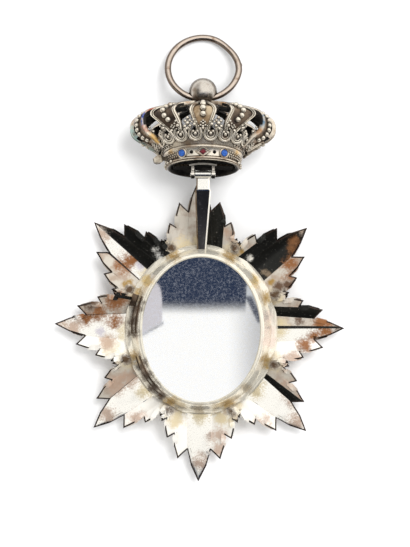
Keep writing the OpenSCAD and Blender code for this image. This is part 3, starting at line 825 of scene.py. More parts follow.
# %% The crown's silvers
HEAT = {"blue": (0.03, 0.08, 0.36), "steel": (0.14, 0.24, 0.34), "red": (0.45, 0.10, 0.05),
        "gold": (0.80, 0.50, 0.17), "brown": (0.50, 0.25, 0.10), "teal": (0.50, 0.68, 0.64)}
heat_stain = [(spots((-11.0, 40.4), (-11.3, 39.3), z=6), 1.9, HEAT["blue"], 1.0),
              (spots((-9.6, 41.6), z=6), 1.7, HEAT["red"], 1.0),
              (spots((-10.4, 37.8), z=6), 1.7, HEAT["red"], 1.0),
              (spots((-9.2, 36.5), (-8.4, 35.7), z=6), 1.8, HEAT["gold"], 1.0),
              (spots((12.0, 40.6), (11.8, 39.2), z=6), 2.0, HEAT["steel"], 1.0),
              (spots((10.9, 37.2), z=6), 1.7, HEAT["brown"], 0.9),
              (spots((-13.2, 37.4), (-12.3, 35.9), (-11.2, 34.7), (-9.8, 33.7), z=6), 1.8, HEAT["teal"], 0.9),
              (spots((-3.0, 43.6), (4.2, 43.6), z=8), 1.6, HEAT["brown"], 0.9),
              (spots((6.8, 33.4), (-5.6, 33.6), z=8), 1.2, HEAT["gold"], 0.7)]
OLD, OLD_TARNISH = (0.80, 0.71, 0.58), (0.40, 0.29, 0.20)
# The crown's silver and its beads get painted shade on the sides that face away from up
crown_silver = silver("antique_silver", clean=OLD, polish=0.26, tarnish=OLD_TARNISH, amount=0.45, grain=0.3,
                      recess_darkening=0.9, metal=0.80, patches=heat_stain, painted_side_shade=(0.05, 0.75))
# The beads' own bright silver, also used as a painted highlight on borders and on the band
bead_silver = silver("beads_and_painted_highlights", clean=(0.97, 0.89, 0.75), polish=0.2, tarnish=OLD_TARNISH, amount=0.2,
                     grain=0.15, recess_darkening=0.5, metal=0.85, painted_side_shade=(0.25, 0.8))
channel_silver = silver("dark_channel", clean=(0.22, 0.16, 0.11), polish=0.35, tarnish=(0.08, 0.06, 0.05),
                        amount=0.5, metal=0.85)
gilt_silver = silver("golden_channel", clean=(0.66, 0.53, 0.36), polish=0.3, tarnish=(0.30, 0.20, 0.11),
                     amount=0.6, recess_darkening=0.95, metal=0.8)
# The crown's inside is painted near black as shade; the two dark dots on the band share this material
inner_silver = silver("crown_inside", clean=(0.06, 0.055, 0.05), polish=0.5, tarnish=(0.02, 0.018, 0.017),
                      amount=0.6)
# The stud's sides are painted darker as shade
stud_silver = silver("stud_silver", clean=(0.60, 0.54, 0.44), polish=0.35, tarnish=(0.30, 0.24, 0.17),
                     amount=0.4, metal=0.8, painted_side_shade=(0.0, 0.7))
bridge_silver = silver("bridge_silver", clean=(0.92, 0.86, 0.76), tarnish=OLD_TARNISH, amount=0.2, metal=0.6)
# Black with no shine, painted on the bridge's faces as shade
painted_shadow = Shader("painted_shadow_black")
painted_shadow.surface.inputs["Base Color"].default_value = (0.012, 0.011, 0.010, 1)
painted_shadow.surface.inputs["Roughness"].default_value = 0.9
painted_shadow.surface.inputs["Specular IOR Level"].default_value = 0.05
frame["nodes"]["hinge_pin"].data.materials.clear()
frame["nodes"]["hinge_pin"].data.materials.append(star_silver)
print("silvers for the crown are mixed")

# %% The band and the flared gallery wall
# What a face of the crown has instead of the crown's own silver: painted shade inside, a dark hollow, or a
# painted highlight
INSIDE, HOLLOW, PAINTED_BRIGHT = 1, 2, 3


def line_inside(piece, faces_in, *others):
    """Gives a piece the crown's silvers, and the dark one, as painted shade, to its inside faces, for which
    faces_in is true.
    """
    for material in (crown_silver, inner_silver, *others):
        piece.data.materials.append(material)
    for face in piece.data.polygons:
        if faces_in(face):
            face.material_index = INSIDE


def faces_axis(face):
    return face.normal.dot(Vector((face.center.x, face.center.y, 0))) < -0.1


band = turn("band", [(6.1, 4.5, 0.05), (6.3, 4.7, -0.12), (6.6, 5.0, -0.15), (6.85, 5.25, -0.05),
                     (6.98, 5.38, 0.15), (6.95, 5.35, 0.4), (6.78, 5.18, 0.55), (6.75, 5.15, 0.7),
                     (6.95, 5.3, 1.3), (7.2, 5.5, 2.0), (7.35, 5.65, 2.12), (7.5, 5.8, 2.3),
                     (7.52, 5.82, 2.5), (7.45, 5.75, 2.68), (7.35, 5.65, 2.8), (8.0, 6.1, 3.5),
                     (8.8, 6.6, 4.2), (9.5, 6.95, 5.0), (9.4, 6.85, 5.1), (8.5, 6.3, 4.3),
                     (7.7, 5.7, 3.6), (6.75, 5.05, 2.7), (6.4, 4.75, 1.2)], steps=120, closed=True)
# Dark grooves; the inner lip and the front of the band are painted bright as highlights
for face in band.data.polygons:
    x, y, level = face.center
    if -0.07 < level < 0.1 or 0.42 < level < 0.9 or 2.66 < level < 3.0:
        face.material_index = HOLLOW
    elif level < -0.07 or (0.9 < level < 2.1 and y < -3.6):
        face.material_index = PAINTED_BRIGHT
line_inside(band, faces_axis, channel_silver, bead_silver)
settle(band, AT_CROWN, "crown", crown_silver, "crown_silver", "crown")


# %% Ornaments are modelled once and copied round the oval
def oval_place(turn_deg, rx, ry, level, lean_deg):
    """A frame on the crown's wall: Z outwards, Y towards the ball."""
    t = math.radians(turn_deg)
    place = Matrix.Translation((rx * math.sin(t), -ry * math.cos(t), level))
    face = Matrix.Rotation(math.atan2(ry * math.sin(t), rx * math.cos(t)), 4, "Z")
    return place @ face @ Matrix.Rotation(math.radians(90 + lean_deg), 4, "X")


def copies(name, model, places):
    """Copies a model to each place, each copy with its own mesh, and joins them."""
    made = []
    for place in places:
        copy = model.copy()
        copy.data = model.data.copy()
        bpy.context.collection.objects.link(copy)
        copy.matrix_world = place @ model.matrix_world
        made.append(copy)
    bpy.data.objects.remove(model)
    deselect()
    for copy in made:
        copy.select_set(True)
    bpy.context.view_layer.objects.active = made[0]
    bpy.ops.object.transform_apply(location=True, rotation=True, scale=True)
    return join(name, made)


def bead_model(radius, segments=18, rings=12):
    return add("model", bpy.ops.mesh.primitive_uv_sphere_add, segments=segments, ring_count=rings,
               radius=radius)


def shift(*offset):
    return Matrix.Translation(offset)


# %% The gallery's scrolls
SCROLLS, SCROLL_R, SCROLL_WIRE, LEG = 20, 1.18, 0.27, 0.95
scroll = add("scroll", bpy.ops.mesh.primitive_torus_add, major_radius=SCROLL_R, minor_radius=SCROLL_WIRE,
             major_segments=32, minor_segments=12)
bpy.ops.object.mode_set(mode="EDIT")
bpy.ops.mesh.select_mode(type="VERT")
bpy.ops.mesh.select_all(action="SELECT")
bpy.ops.mesh.bisect(plane_co=(0, 0.2, 0), plane_no=(0, 1, 0), clear_outer=True)
bpy.ops.mesh.select_all(action="DESELECT")
bpy.ops.mesh.select_non_manifold()
bpy.ops.mesh.extrude_region_move(TRANSFORM_OT_translate={"value": (0, LEG, 0)})
bpy.ops.transform.resize(value=(0.8, 1, 1), center_override=(0, 0, 0))
bpy.ops.mesh.fill_holes(sides=0)
bpy.ops.object.mode_set(mode="OBJECT")
inner_line = scroll.copy()
inner_line.data = scroll.data.copy()
bpy.context.collection.objects.link(inner_line)
inner_line.scale = (0.6, 0.62, 0.6)
scroll = join("scroll", [scroll, inner_line])


def on_gallery(turn_deg, level, stand=0.0):
    """A place on the flared wall at a level, standing off it a little."""
    flare = 34 + 10 * math.sin(math.radians(turn_deg)) ** 2
    grown = (level - 4.2) / 1.3
    return oval_place(turn_deg, 8.8 + 1.2 * grown, 6.6 + 0.55 * grown, level, flare) @ shift(0, 0, stand)


between_arches = [360 * (i + 0.5) / SCROLLS for i in range(SCROLLS)]
scrolls = copies("scrolls", scroll, [on_gallery(turn_deg, 4.5, 0.2) for turn_deg in between_arches])
settle(scrolls, AT_CROWN, "crown", bead_silver, "crown_silver", "crown", smooth=50)


# %% The gallery's pearls
def gallery_beads(name, model, turns, level, stand=0.0, sideways=0.0, up=0.0):
    """Copies a bead to the gallery at several turns, standing off the wall and moved along it."""
    places = [on_gallery(turn_deg, level, stand) @ shift(sideways, up, 0) for turn_deg in turns]
    return copies(name, model, places)


# Sideways, up and radius of the three pearls in a scroll
TREFOIL = [(0, 0.1, 0.34), (-0.42, 0.5, 0.26), (0.42, 0.5, 0.26)]
# Radius, distance from the mouth and sideways place of the beads of a leaf
LEAF = [(0.34, 6.1, 0.0), (0.2, 6.5, -0.42), (0.2, 6.5, 0.42), (0.24, 6.9, 0.0)]
# Between the arches a sprig stands free: distance from the mouth, sideways and size of its grains
SPRIG = [(5.5, 0.0, 0.45), (6.0, -0.5, 0.38), (6.0, 0.5, 0.38), (6.6, 0.0, 0.44), (7.1, -0.45, 0.32),
         (7.1, 0.45, 0.32), (7.7, 0.0, 0.36)]
SPRIG_TURNS = (-54, -18, 18, 54)
EDGE_TURNS = (-102, -91, -80, -69, -58, 70, 84, 98)
tips = [360 * i / SCROLLS for i in range(SCROLLS)]
pearls = [gallery_beads("pearls", bead_model(radius), between_arches, 4.5, 0.15, x, y)
          for x, y, radius in TREFOIL]
pearls.append(gallery_beads("tip_beads", bead_model(0.33), tips, 5.4, 0.15))
for radius, level, sideways in LEAF:
    grain = bead_model(radius, 12, 8)
    pearls.append(gallery_beads("leaf_beads", grain, between_arches, level, sideways=sideways))
for level, sideways, radius in SPRIG:
    places = [oval_place(turn_deg, 9.4, 6.75, level, 10) @ shift(sideways, 0, 0) for turn_deg in SPRIG_TURNS]
    pearls.append(copies("sprig_beads", bead_model(radius, 12, 8), places))
places = [oval_place(turn_deg, 7.1, 5.5, 0.3, 16) for turn_deg in EDGE_TURNS]
pearls.append(copies("edge_beads", bead_model(0.3, 12, 8), places))
settle(join("pearls", pearls), AT_CROWN, "crown", bead_silver, "crown_silver", "crown", smooth=80)

# %% [markdown]
# ## The arches
#
# Each half arch is a strip with two rounded borders and a channel between them for a row of beads. It
# is narrow at the gallery, swells into a spade at its shoulder and narrows again under the ball. The
# two at each side start lower, on the band. The strip is swept along rows of sections, because its
# width and its curve change together.

# %% An arch's curve
ARCH_TURNS = [0, 36, 75, 105, 144, 180, 216, 255, 285, 324]
# Distance from the mouth, how much less at the sides, half width and half depth of the crown, half width
# of the arch
ARCH = [(4.4, 1.4, 8.2, 6.3, 1.3), (5.6, 2.5, 8.6, 6.4, 1.4), (6.5, 2.8, 9.4, 6.6, 1.7),
        (7.6, 3.1, 10.5, 6.7, 2.1), (8.5, 3.4, 11.7, 6.75, 2.4), (9.1, 2.9, 12.6, 6.75, 2.6),
        (9.5, 1.8, 12.9, 6.7, 2.55), (9.9, 0.8, 12.7, 6.55, 2.4), (10.4, 0.2, 11.8, 6.15, 2.1),
        (11.2, 0, 9.8, 5.1, 1.3), (11.9, 0, 7.5, 3.9, 0.85), (12.7, 0, 3.3, 2.2, 0.65)]
print(len(ARCH_TURNS), "half arches, from", ARCH[0][0], "to", ARCH[-1][0], "mm over the mouth")


def arch_place(k, turn_deg):
    """Middle of the arch's floor and its half width, smoothed through the rows on both sides of k."""
    i = min(int(k), len(ARCH) - 2)
    f = k - i
    rows = [ARCH[max(min(i + n, len(ARCH) - 1), 0)] for n in (-1, 0, 1, 2)]
    level, drop, rx, ry, half = (0.5 * (2 * q + (r - p) * f + (2 * p - 5 * q + 4 * r - s) * f * f
                                        + (3 * q - p - 3 * r + s) * f ** 3) for p, q, r, s in zip(*rows))
    t = math.radians(turn_deg)
    middle = Vector((rx * math.sin(t), -ry * math.cos(t), level - drop * math.sin(t) ** 4))
    return middle, Vector((rx * math.cos(t), ry * math.sin(t), 0)).normalized(), half


def arch_frame(k, turn_deg):
    """Middle, sideways and outward directions and half width of an arch at place k."""
    middle, across, half = arch_place(k, turn_deg)
    up = arch_place(min(k + 0.2, len(ARCH) - 1), turn_deg)[0] - arch_place(max(k - 0.2, 0), turn_deg)[0]
    return middle, across, across.cross(up.normalized()), half


# %% An arch's section
WALL_T, CHANNEL = 0.6, 0.16
# A border has a thick and a thin ridge: distance from the arch's edge, height
BORDER = [(0.0, 0.0), (0.06, 0.2), (0.2, 0.32), (0.36, 0.22), (0.43, 0.02), (0.52, 0.17), (0.62, 0.2),
          (0.72, 0.1), (0.78, -CHANNEL)]
BORDER_W = BORDER[-1][0]


def panel_half(half):
    """Half the width between the borders, which shrink where the arch is narrow."""
    return half - min(BORDER_W, 0.8 * half)


def arch_section(half):
    """Outline across an arch, from one border over the channel to the other border and back underneath."""
    shrink = (half - panel_half(half)) / BORDER_W
    left = [(away * shrink - half, height) for away, height in BORDER]
    floor = [(part * panel_half(half), -CHANNEL) for part in (-0.5, 0.5)]
    right = [(-across, height) for across, height in reversed(left)]
    under = [(part * half, -WALL_T) for part in (1, 0.5, -0.5, -1)]
    outline = left + floor + right + under
    return outline + outline[:1]


# %% Beads along an arch, and the leaf of grains at its foot
BEAD_PITCH, BEAD_R = 2.0, 0.6
# The row's first and last place along the arch, and how finely it is walked
ROW_START, ROW_END, FINE = 2.6, 10.6, 100
# The arches that lie lowest have smaller beads, so that these stay over the table
LOW_BEADS = 0.68
# Sideways, along and size of each grain
LEAF_GRAINS = [(0, 0, 0.3), (-0.45, 0.2, 0.24), (0.45, 0.2, 0.24), (-0.85, 0.0, 0.2), (0.85, 0.0, 0.2),
               (0, 0.55, 0.26), (-0.35, 0.8, 0.2), (0.35, 0.8, 0.2), (0, 1.1, 0.2), (-0.6, -0.4, 0.22),
               (0.6, -0.4, 0.22)]


def bead_share(turn_deg):
    """How large an arch's beads are: smaller near the table and at the crown's sides."""
    if abs(turn_deg - 180) < 40:
        return LOW_BEADS
    return 1 - 0.25 * math.sin(math.radians(turn_deg)) ** 2


def bead_row(turn_deg):
    """Places for beads along the channel, which are smaller where the arch is narrow."""
    places, walked, last = [], 0.0, arch_place(ROW_START, turn_deg)[0]
    for step in range(round(ROW_START * FINE) + 1, round(ROW_END * FINE)):
        middle, across, out, half = arch_frame(step / FINE, turn_deg)
        walked += (middle - last).length
        last = middle
        size = min(BEAD_R, max(panel_half(half), 0.2)) * bead_share(turn_deg)
        if walked > BEAD_PITCH * size:
            walked = 0.0
            places.append(Matrix.Translation(middle + out * (0.5 * size - CHANNEL)) @ Matrix.Scale(size, 4))
    return places


def leaf_of_grains(turn_deg):
    """Places for the little leaf of grains at an arch's foot."""
    middle, across, out, half = arch_frame(1.4, turn_deg)
    ahead = (arch_frame(1.6, turn_deg)[0] - middle).normalized()
    return [Matrix.Translation(middle + across * x + ahead * y + out * 0.15) @ Matrix.Scale(size, 4)
            for x, y, size in LEAF_GRAINS]


# %% The ten arches and their beads
def arch_finishes(turn_deg, columns):
    """The materials across an arch: a dark or golden channel, and borders painted bright as highlights on the
    side that is seen.
    """
    left, edges = len(BORDER) - 2, len(BORDER) - 3
    finishes = [0] * columns
    finishes[left:left + 5] = [HOLLOW] * 5
    if abs(turn_deg - 180) > 140:
        finishes[1:left] = [PAINTED_BRIGHT] * edges
        finishes[left + 5:left + 5 + edges] = [PAINTED_BRIGHT] * edges
    return finishes


AXIS_POINT = Vector((0, 0, 6))
for n, turn_deg in enumerate(ARCH_TURNS):
    rows = []
    for step in range(4 * len(ARCH) - 3):
        middle, across, out, half = arch_frame(step / 4, turn_deg)
        rows.append([middle + across * p + out * q for p, q in arch_section(half)])
    finishes = arch_finishes(turn_deg, len(rows[0]))
    arch = sweep(f"arch_{n}", rows, tube=True, caps=True, finish=lambda column: finishes[column])
    # Faces towards the crown's axis are painted near black, as the shade inside the crown
    least = -1.5 if 90 < turn_deg < 270 else 1.0
    line_inside(arch, lambda face: face.normal.dot(AXIS_POINT - face.center) > least,
                gilt_silver if turn_deg == 0 else channel_silver, bead_silver)
    settle(arch, AT_CROWN, "crown", crown_silver, "crown_silver", "crown", smooth=50)
    beads = copies(f"arch_beads_{n}", bead_model(1), bead_row(turn_deg) + leaf_of_grains(turn_deg))
    settle(beads, AT_CROWN, "crown", bead_silver, "crown_silver", "crown", smooth=80)

# %% The boss under the ball
boss = turn("boss", [(1.2, 1.1, 11.9), (2.6, 1.9, 12.0), (3.0, 2.2, 12.25), (2.9, 2.1, 12.6),
                     (2.2, 1.8, 12.7)], steps=48)
settle(boss, AT_CROWN, "crown", crown_silver, "crown_silver", "crown")
places = [oval_place(30 * i, 2.6, 2.05, 12.35, 0) for i in range(12)]
collar = copies("collar_beads", bead_model(0.36, 12, 8), places)
settle(collar, AT_CROWN, "crown", bead_silver, "crown_silver", "crown", smooth=80)

# %% [markdown]
# ## Stones on the band
#
# Two round blue enamels and a red lozenge are set in raised collets, with small pips between them. Each
# keeps the place that its CAD node has.

# %% The enamels
def enamel(name, colour):
    """A speckled enamel, which is duller than new glass."""
    s = Shader(name)
    deep = tuple(c * 0.35 for c in colour)
    s.plug(s.mix(s.span(s.noise(0.3), 0.35, 0.7), colour, deep), s.surface.inputs["Base Color"])
    s.surface.inputs["Roughness"].default_value = 0.35
    s.surface.inputs["Specular IOR Level"].default_value = 0.25
    s.bump(s.noise(0.25), 0.2, 0.03)
    return s.material


BAND_LEAN = 16
BLUE_TURNS = (-34, 34)


def on_band(turn_deg, level=1.35, rx=7.0, ry=5.35):
    return oval_place(turn_deg, rx, ry, level, BAND_LEAN)


blue = enamel("blue_enamel", (0.035, 0.12, 0.45))
red = enamel("red_enamel", (0.16, 0.02, 0.03))
for name, turn_deg in zip(("blue_enamel_left", "blue_enamel_right"), BLUE_TURNS):
    stone = turn(name + "_stone", [(0.6, 0.6, 0.08), (0.62, 0.62, 0.3), (0.55, 0.55, 0.42), (0.36, 0.36, 0.5),
                                   (0.12, 0.12, 0.53)], steps=32)
    stone.matrix_world = on_band(turn_deg)
    settle(stone, AT_CROWN, "crown", blue, "blue_enamel", name, smooth=60)
lozenge = turn("lozenge", [(0.74, 0.46, 0.08), (0.75, 0.475, 0.3), (0.55, 0.33, 0.46), (0.2, 0.12, 0.52)],
               steps=4)
lozenge.matrix_world = on_band(0)
settle(lozenge, AT_CROWN, "crown", red, "red_enamel", "red_lozenge", smooth=20)


# %% Collets, pips, dots and grains on the band
def make_collet(turn_deg, rx, ry, thick, steps):
    """A raised setting round a stone, on the band."""
    made = turn("collet", [(rx - thick, ry - thick, 0.0), (rx - thick, ry - thick, 0.3), (rx, ry, 0.36),
                           (rx + thick, ry + thick, 0.25), (rx + thick, ry + thick, -0.1), (rx, ry, -0.1)],
                steps=steps, closed=True)
    made.matrix_world = on_band(turn_deg)
    return made


collets = [make_collet(turn_deg, 0.82, 0.82, 0.12, 32) for turn_deg in BLUE_TURNS]
collets.append(make_collet(0, 1.35, 0.85, 0.16, 4))
collets.append(copies("pips", bead_model(0.26, 12, 8), [on_band(turn_deg) for turn_deg in (150, 180, 210)]))
places = [on_band(turn_deg) @ shift(0, 0, -0.05) for turn_deg in (-18, 18)]
dots = copies("dark_dots", bead_model(0.34, 16, 8), places)
settle(dots, AT_CROWN, "crown", inner_silver, "crown_silver", "crown", smooth=80)
grain_places = []
for row, level in enumerate((0.95, 1.35, 1.75)):
    flare = 0.29 * (level - 1.35)
    for i in range(11):
        for side in (-1, 1):
            turn_deg = side * (45 + 5.6 * i + 2.8 * (row % 2))
            grain_places.append(on_band(turn_deg, level, 7.02 + flare, 5.37 + flare))
for level in (3.1, 3.6):
    grain_places += [on_gallery(side * (50 + 6 * i), level, -0.1) for i in range(11) for side in (-1, 1)]
collets.append(copies("grains", bead_model(0.23, 10, 6), grain_places))
settle(join("collets", collets), AT_CROWN, "crown", crown_silver, "crown_silver", "crown")

# %% The stud at the side of the band
STUD_R, NECK_R, NECK_H, STUD_H = 0.98, 0.45, 1.4, 1.5
stud = turn("stud", [(NECK_R, NECK_R, 0.08), (NECK_R, NECK_R, NECK_H), (STUD_R * 0.85, STUD_R * 0.85, NECK_H),
                     (STUD_R, STUD_R, NECK_H + 0.2), (STUD_R, STUD_R, NECK_H + 0.9),
                     (0.6, 0.6, NECK_H + STUD_H)], steps=4)
stud.matrix_world = on_band(-72) @ Matrix.Rotation(math.pi / 4, 4, "Z")
settle(stud, AT_CROWN, "crown", stud_silver, "polished_silver", "side_stud", smooth=20)

# %% [markdown]
# ## The bridge
#
# The crown hangs by a strip soldered across its mouth, with two ears that hold the pin. The strip is
# swept, because it rises a little in its middle. Each ear is a turned eye with a bevelled block as
# its shank. Only the strip's upper side is light silver, brown towards its ends; all the other faces
# are painted black as shade.

# %% The bridge across the mouth, with the ears that hold the pin
BRIDGE_REACH, BRIDGE_T, BRIDGE_D, BRIDGE_RISE = 5.67, 0.5, 1.9, 0.3
RISE_REACH = 2.5
# The strip's rounded section, as shares of its depth and thickness
rounded = [(-0.5, -0.36), (-0.5, 0.36), (-0.46, 0.5), (0.46, 0.5), (0.5, 0.36), (0.5, -0.36), (0.46, -0.5),
           (-0.46, -0.5), (-0.5, -0.36)]
bars = []
for i in range(49):
    x = BRIDGE_REACH * (i / 24 - 1)
    rise = BRIDGE_RISE * max(0.0, 1 - (x / RISE_REACH) ** 2)
    middle_z = BRIDGE_T / 2 + rise
    bars.append([Vector((x, deep * BRIDGE_D, middle_z + thick * BRIDGE_T)) for deep, thick in rounded])
bridge = [sweep("bridge", bars, tube=True, caps=True)]
EAR_X, EAR_T, PIN_HOLE = 1.95, 0.6, 0.43
for side in (-1, 1):
    eye = turn("ear", [(PIN_HOLE, PIN_HOLE, -EAR_T / 2), (KNUCKLE_R, KNUCKLE_R, -EAR_T / 2),
                       (KNUCKLE_R, KNUCKLE_R, EAR_T / 2), (PIN_HOLE, PIN_HOLE, EAR_T / 2)],
               steps=32, closed=True)
    across_mouth = Matrix.Rotation(math.pi / 2, 4, "Y")
    eye.matrix_world = Matrix.Translation((side * EAR_X, 0, -MOUTH_OFF)) @ across_mouth
    shank = add("shank", bpy.ops.mesh.primitive_cube_add, size=1, location=(side * EAR_X, 0, -0.2),
                scale=(EAR_T, 2 * KNUCKLE_R - 0.1, 0.9))
    modify(shank, "BEVEL", width=0.12, segments=2)
    bridge += [eye, shank]
for part in bridge:
    select(part)
    bpy.ops.object.transform_apply(location=True, rotation=True, scale=True)
bridge = join("bridge", bridge)
BLACK, BROWN_END = 1, 2
for material in (bridge_silver, painted_shadow.material, brown_silver):
    bridge.data.materials.append(material)
# All but the strip's upper side are painted black as shade
for face in bridge.data.polygons:
    if face.normal.y > -0.85:
        face.material_index = BLACK
    elif abs(face.center.x) > RISE_REACH:
        face.material_index = BROWN_END
settle(bridge, AT_CROWN, "crown", bridge_silver, "crown_silver", "hinge_bridge", smooth=40)

# %% [markdown]
# ## The ball and the ring
#
# The ball is a satin bead with a cross hole. The ring is drawn wire bent by hand, so it isn't a true
# oval, and its ends lap on the right. A sphere is drilled with a boolean, and a torus is bent by a
# formula. The lap is a piece of a second torus that gets thinner at both ends.

# %% The ball, with its hole cut through
BALL_R, BALL_A, BORE_A, BORE_R = 2.66, 15.45, 14.3, 1.0
# The ball's side towards the crown is painted darker, as the reflection of the dark crown, and its sides
# darker as shade
ball_painted_reflection = [([at(x, 43.3, 4) for x in (-1.0, 0.6, 2.2)], 1.9, (0.32, 0.21, 0.14), 0.8)]
ball_silver = silver("ball_silver", clean=(0.80, 0.74, 0.66), polish=0.27, tarnish=(0.46, 0.36, 0.28),
                     amount=0.3, grain=0.12, painted_side_shade=(0.1, 1.03), patches=ball_painted_reflection)
ball = add("ball_bead", bpy.ops.mesh.primitive_uv_sphere_add, segments=64, ring_count=40, radius=BALL_R,
           location=(0, 0, BALL_A))
drill = add("drill", bpy.ops.mesh.primitive_cylinder_add, vertices=40, radius=BORE_R, depth=8,
            location=(0, 0, BORE_A), rotation=(0, math.pi / 2, 0))
modify(ball, "BOOLEAN", operation="DIFFERENCE", object=drill, solver="EXACT")
bpy.data.objects.remove(drill)
settle(ball, AT_CROWN, "crown", ball_silver, "ball_silver", "ball", smooth=35)


# %% The ring's wire
def hand_bent(point):
    """Makes the round wire oval, flatter at the upper right and fuller at the right."""
    angle = math.degrees(math.atan2(point.y, point.x))
    flat = 0.045 * math.exp(-((angle - 44) / 22) ** 2)
    full = 0.02 * math.exp(-((angle + 4) / 16) ** 2)
    point.x *= (RING_RX / RING_RY) * (1 - flat + full)
    point.y *= 1 - flat


wire = add("wire", bpy.ops.mesh.primitive_torus_add, major_radius=RING_RY, minor_radius=WIRE_R,
           major_segments=128, minor_segments=20)
for vertex in wire.data.vertices:
    hand_bent(vertex.co)
print("the wire is", round(2 * WIRE_R, 2), "mm thick")

# %% The ring's lapped end
LAP_OFF = 0.22
LAP_R = RING_RY + LAP_OFF
lap = add("lap", bpy.ops.mesh.primitive_torus_add, major_radius=LAP_R, minor_radius=WIRE_R * 0.8,
          major_segments=128, minor_segments=20)
bpy.ops.object.mode_set(mode="EDIT")
bpy.ops.mesh.select_mode(type="VERT")
bpy.ops.mesh.select_all(action="DESELECT")
bpy.ops.object.mode_set(mode="OBJECT")
for vertex in lap.data.vertices:
    angle = math.degrees(math.atan2(vertex.co.y, vertex.co.x))
    vertex.select = not -14 < angle < 26
    thin = max(0.25, 1 - abs(angle - 6) / 26)
    outwards = Vector((vertex.co.x, vertex.co.y, 0)).normalized()
    vertex.co = outwards * (RING_RY + LAP_OFF * thin) + (vertex.co - outwards * LAP_R) * thin
bpy.ops.object.mode_set(mode="EDIT")
bpy.ops.mesh.delete(type="VERT")
bpy.ops.mesh.select_non_manifold()
bpy.ops.mesh.fill_holes(sides=0)
bpy.ops.object.mode_set(mode="OBJECT")
for vertex in lap.data.vertices:
    hand_bent(vertex.co)
# The wire's sides are painted darker as shade, so a bright line runs along its top
ring_silver = silver("ring_silver", clean=(0.84, 0.71, 0.60), polish=0.16, tarnish=(0.45, 0.30, 0.21),
                     amount=0.25, grain=0.12, painted_side_shade=(0.66, 0.99))
wire = join("wire", [wire, lap])
wire.matrix_world = Matrix.Translation((0, RING_MID, 0))
settle(wire, AT_RING, "ring", ring_silver, "ring_silver", "suspension_ring", smooth=60)

# %% [markdown]
# ## The studio
#
# The badge lies on a white table under a big soft light. Silver only shows what is round it, so the
# room matters more than the lamp: it is white overhead and to the north and east, and dark towards
# the south and west, where the photographer stands. The dish shows all of it, so the room has a dark
# card, a pale card and a pole. They are drawn on the world by direction, and only gloss sees them.

# %% The table
TABLE_SIZE = 2
PAPER, PAPER_SHADE = (0.93, 0.93, 0.93), (0.9, 0.9, 0.9)
floor = add("floor", bpy.ops.mesh.primitive_plane_add, size=TABLE_SIZE)
paper = Shader("white_table")
paper.plug(paper.mix(paper.noise(3.0), PAPER, PAPER_SHADE), paper.surface.inputs["Base Color"])
paper.surface.inputs["Roughness"].default_value = 0.9
floor.data.materials.append(paper.material)
print("the table is", TABLE_SIZE, "m wide")

# %% Directions in the room
world = bpy.context.scene.world or bpy.data.worlds.new("studio")
bpy.context.scene.world = world
world.use_nodes = True
studio = Nodes(world.node_tree)
studio.nodes.clear()
towards = studio.node("ShaderNodeSeparateXYZ")
studio.plug(studio.node("ShaderNodeTexCoord").outputs["Generated"], towards.inputs[0])
east, north, up = towards.outputs["X"], towards.outputs["Y"], towards.outputs["Z"]
south = studio.math("MULTIPLY", north, -1.0)
west = studio.math("MULTIPLY", east, -1.0)
past = studio.span


def both(a, b):
    return studio.math("MULTIPLY", a, b)


def less(a):
    return studio.math("SUBTRACT", 1.0, a)


def between(value, rise, fall):
    """1 where a value is past rise and not yet past fall, which are pairs of numbers."""
    return both(past(value, *rise), less(past(value, *fall)))


def along(share_west, share_south):
    return studio.math("ADD", both(west, share_west), both(south, share_south))


def bulge_off(value, middle, stretch):
    """The fourth power of a stretched distance. Two of them make a square with round corners."""
    distance = studio.math("ABSOLUTE", both(studio.math("ADD", value, -middle), stretch))
    return studio.math("POWER", distance, 4.0)


# %% What the silver sees of the room
WHITE, GREY, SHADED = (1.08, 1.07, 1.05), (0.42, 0.42, 0.43), (0.60, 0.62, 0.64)
DARK, NAVY, BEIGE = (0.010, 0.010, 0.012), (0.010, 0.024, 0.065), (0.50, 0.47, 0.42)
POLE, CARD_EDGE, LILAC_CARD = (0.06, 0.07, 0.10), (0.45, 0.45, 0.47), (0.66, 0.63, 0.66)
# The dish looks almost straight up: a dark card in the south, a pale one in the east, a pole in the west
card_end = past(west, 0.36, 0.375)
overhead = both(past(south, 0.09, 0.195), less(card_end))
pole = both(between(along(0.827, 0.563), (0.40, 0.415), (0.44, 0.455)),
            between(south, (0.04, 0.06), (0.185, 0.20)))
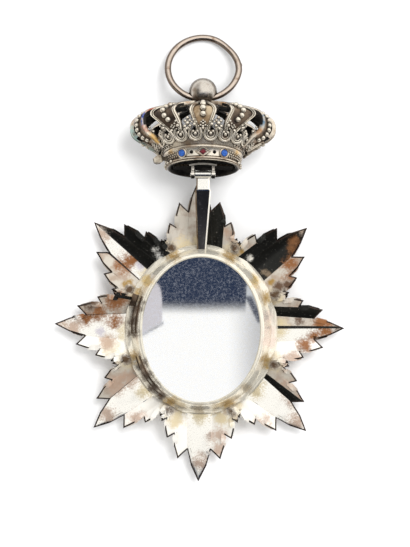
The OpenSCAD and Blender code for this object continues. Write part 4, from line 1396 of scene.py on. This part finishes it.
# The rays look lower: dark from the south east over the south to the west, and paler again near the table
sector = both(past(along(0.75, 0.65), 0.10, 0.16), past(along(0.45, 1.0), -0.08, 0.0))
dark_side = studio.math("MAXIMUM", overhead, both(sector, less(past(up, 0.845, 0.865))))
near_table = less(past(up, 0.52, 0.60))
shade = both(past(west, 0.20, 0.50), 0.75)
bulge = studio.math("ADD", bulge_off(east, 0.50, 5.7), bulge_off(south, 0.13, 6.6))
cut = studio.math("ADD", south, both(studio.math("ADD", east, -0.335), 0.4))
card = both(less(past(bulge, 0.95, 1.1)), past(cut, 0.047, 0.053))
card_edge = both(less(past(bulge, 1.2, 1.5)), between(cut, (0.030, 0.036), (0.047, 0.053)))
room = studio.mix(shade, WHITE, GREY)
for share, colour in ((both(past(south, 0.14, 0.18), card_end), SHADED),
                      (pole, POLE),
                      (dark_side, DARK),
                      (both(overhead, past(up, 0.85, 0.87)), NAVY),
                      (both(near_table, sector), BEIGE),
                      (card_edge, CARD_EDGE),
                      (card, LILAC_CARD)):
    room = studio.mix(share, room, colour)
seen = studio.mix(studio.node("ShaderNodeLightPath").outputs["Is Glossy Ray"], (1.0, 1.0, 1.0), room)
background = studio.node("ShaderNodeBackground")
studio.plug(seen, background.inputs["Color"])
background.inputs["Strength"].default_value = 0.95
studio.plug(background.outputs[0], studio.node("ShaderNodeOutputWorld").inputs[0])
print("the room has", len(studio.nodes), "nodes")

# %% The lamp
LAMP_PLACE, LAMP_POWER, LAMP_SIZE = (0.35, 0.35, 0.9), 7, 0.5
lamp = add("lamp", bpy.ops.object.light_add, type="AREA", location=LAMP_PLACE)
lamp.data.energy = LAMP_POWER
lamp.data.size = LAMP_SIZE
lamp.visible_glossy = False
lamp.rotation_euler = (-lamp.location).to_track_quat("-Z", "Y").to_euler()
print("the lamp stands", round(lamp.location.length, 2), "m away")

# %% The camera looks straight down
PIXEL_MM, IMAGE_W, IMAGE_H = 0.19, 410, 547
STAR_PIXEL = (201.2, 329.5)
CAMERA_HEIGHT = 0.8
camera = add("camera", bpy.ops.object.camera_add)
camera.location = (star_middle.x + (IMAGE_W / 2 - STAR_PIXEL[0]) * PIXEL_MM * MM,
                   star_middle.y + (STAR_PIXEL[1] - IMAGE_H / 2) * PIXEL_MM * MM, CAMERA_HEIGHT)
FOCUS_Z, SENSOR = 5 * MM, 36
camera.data.sensor_width = SENSOR
camera.data.lens = SENSOR * (CAMERA_HEIGHT - FOCUS_Z) / (IMAGE_H * PIXEL_MM * MM)
camera.data.clip_start = 0.05
bpy.context.scene.camera = camera
bpy.context.scene.view_settings.view_transform = "Standard"
print("camera over", tuple(round(v, 4) for v in camera.location))
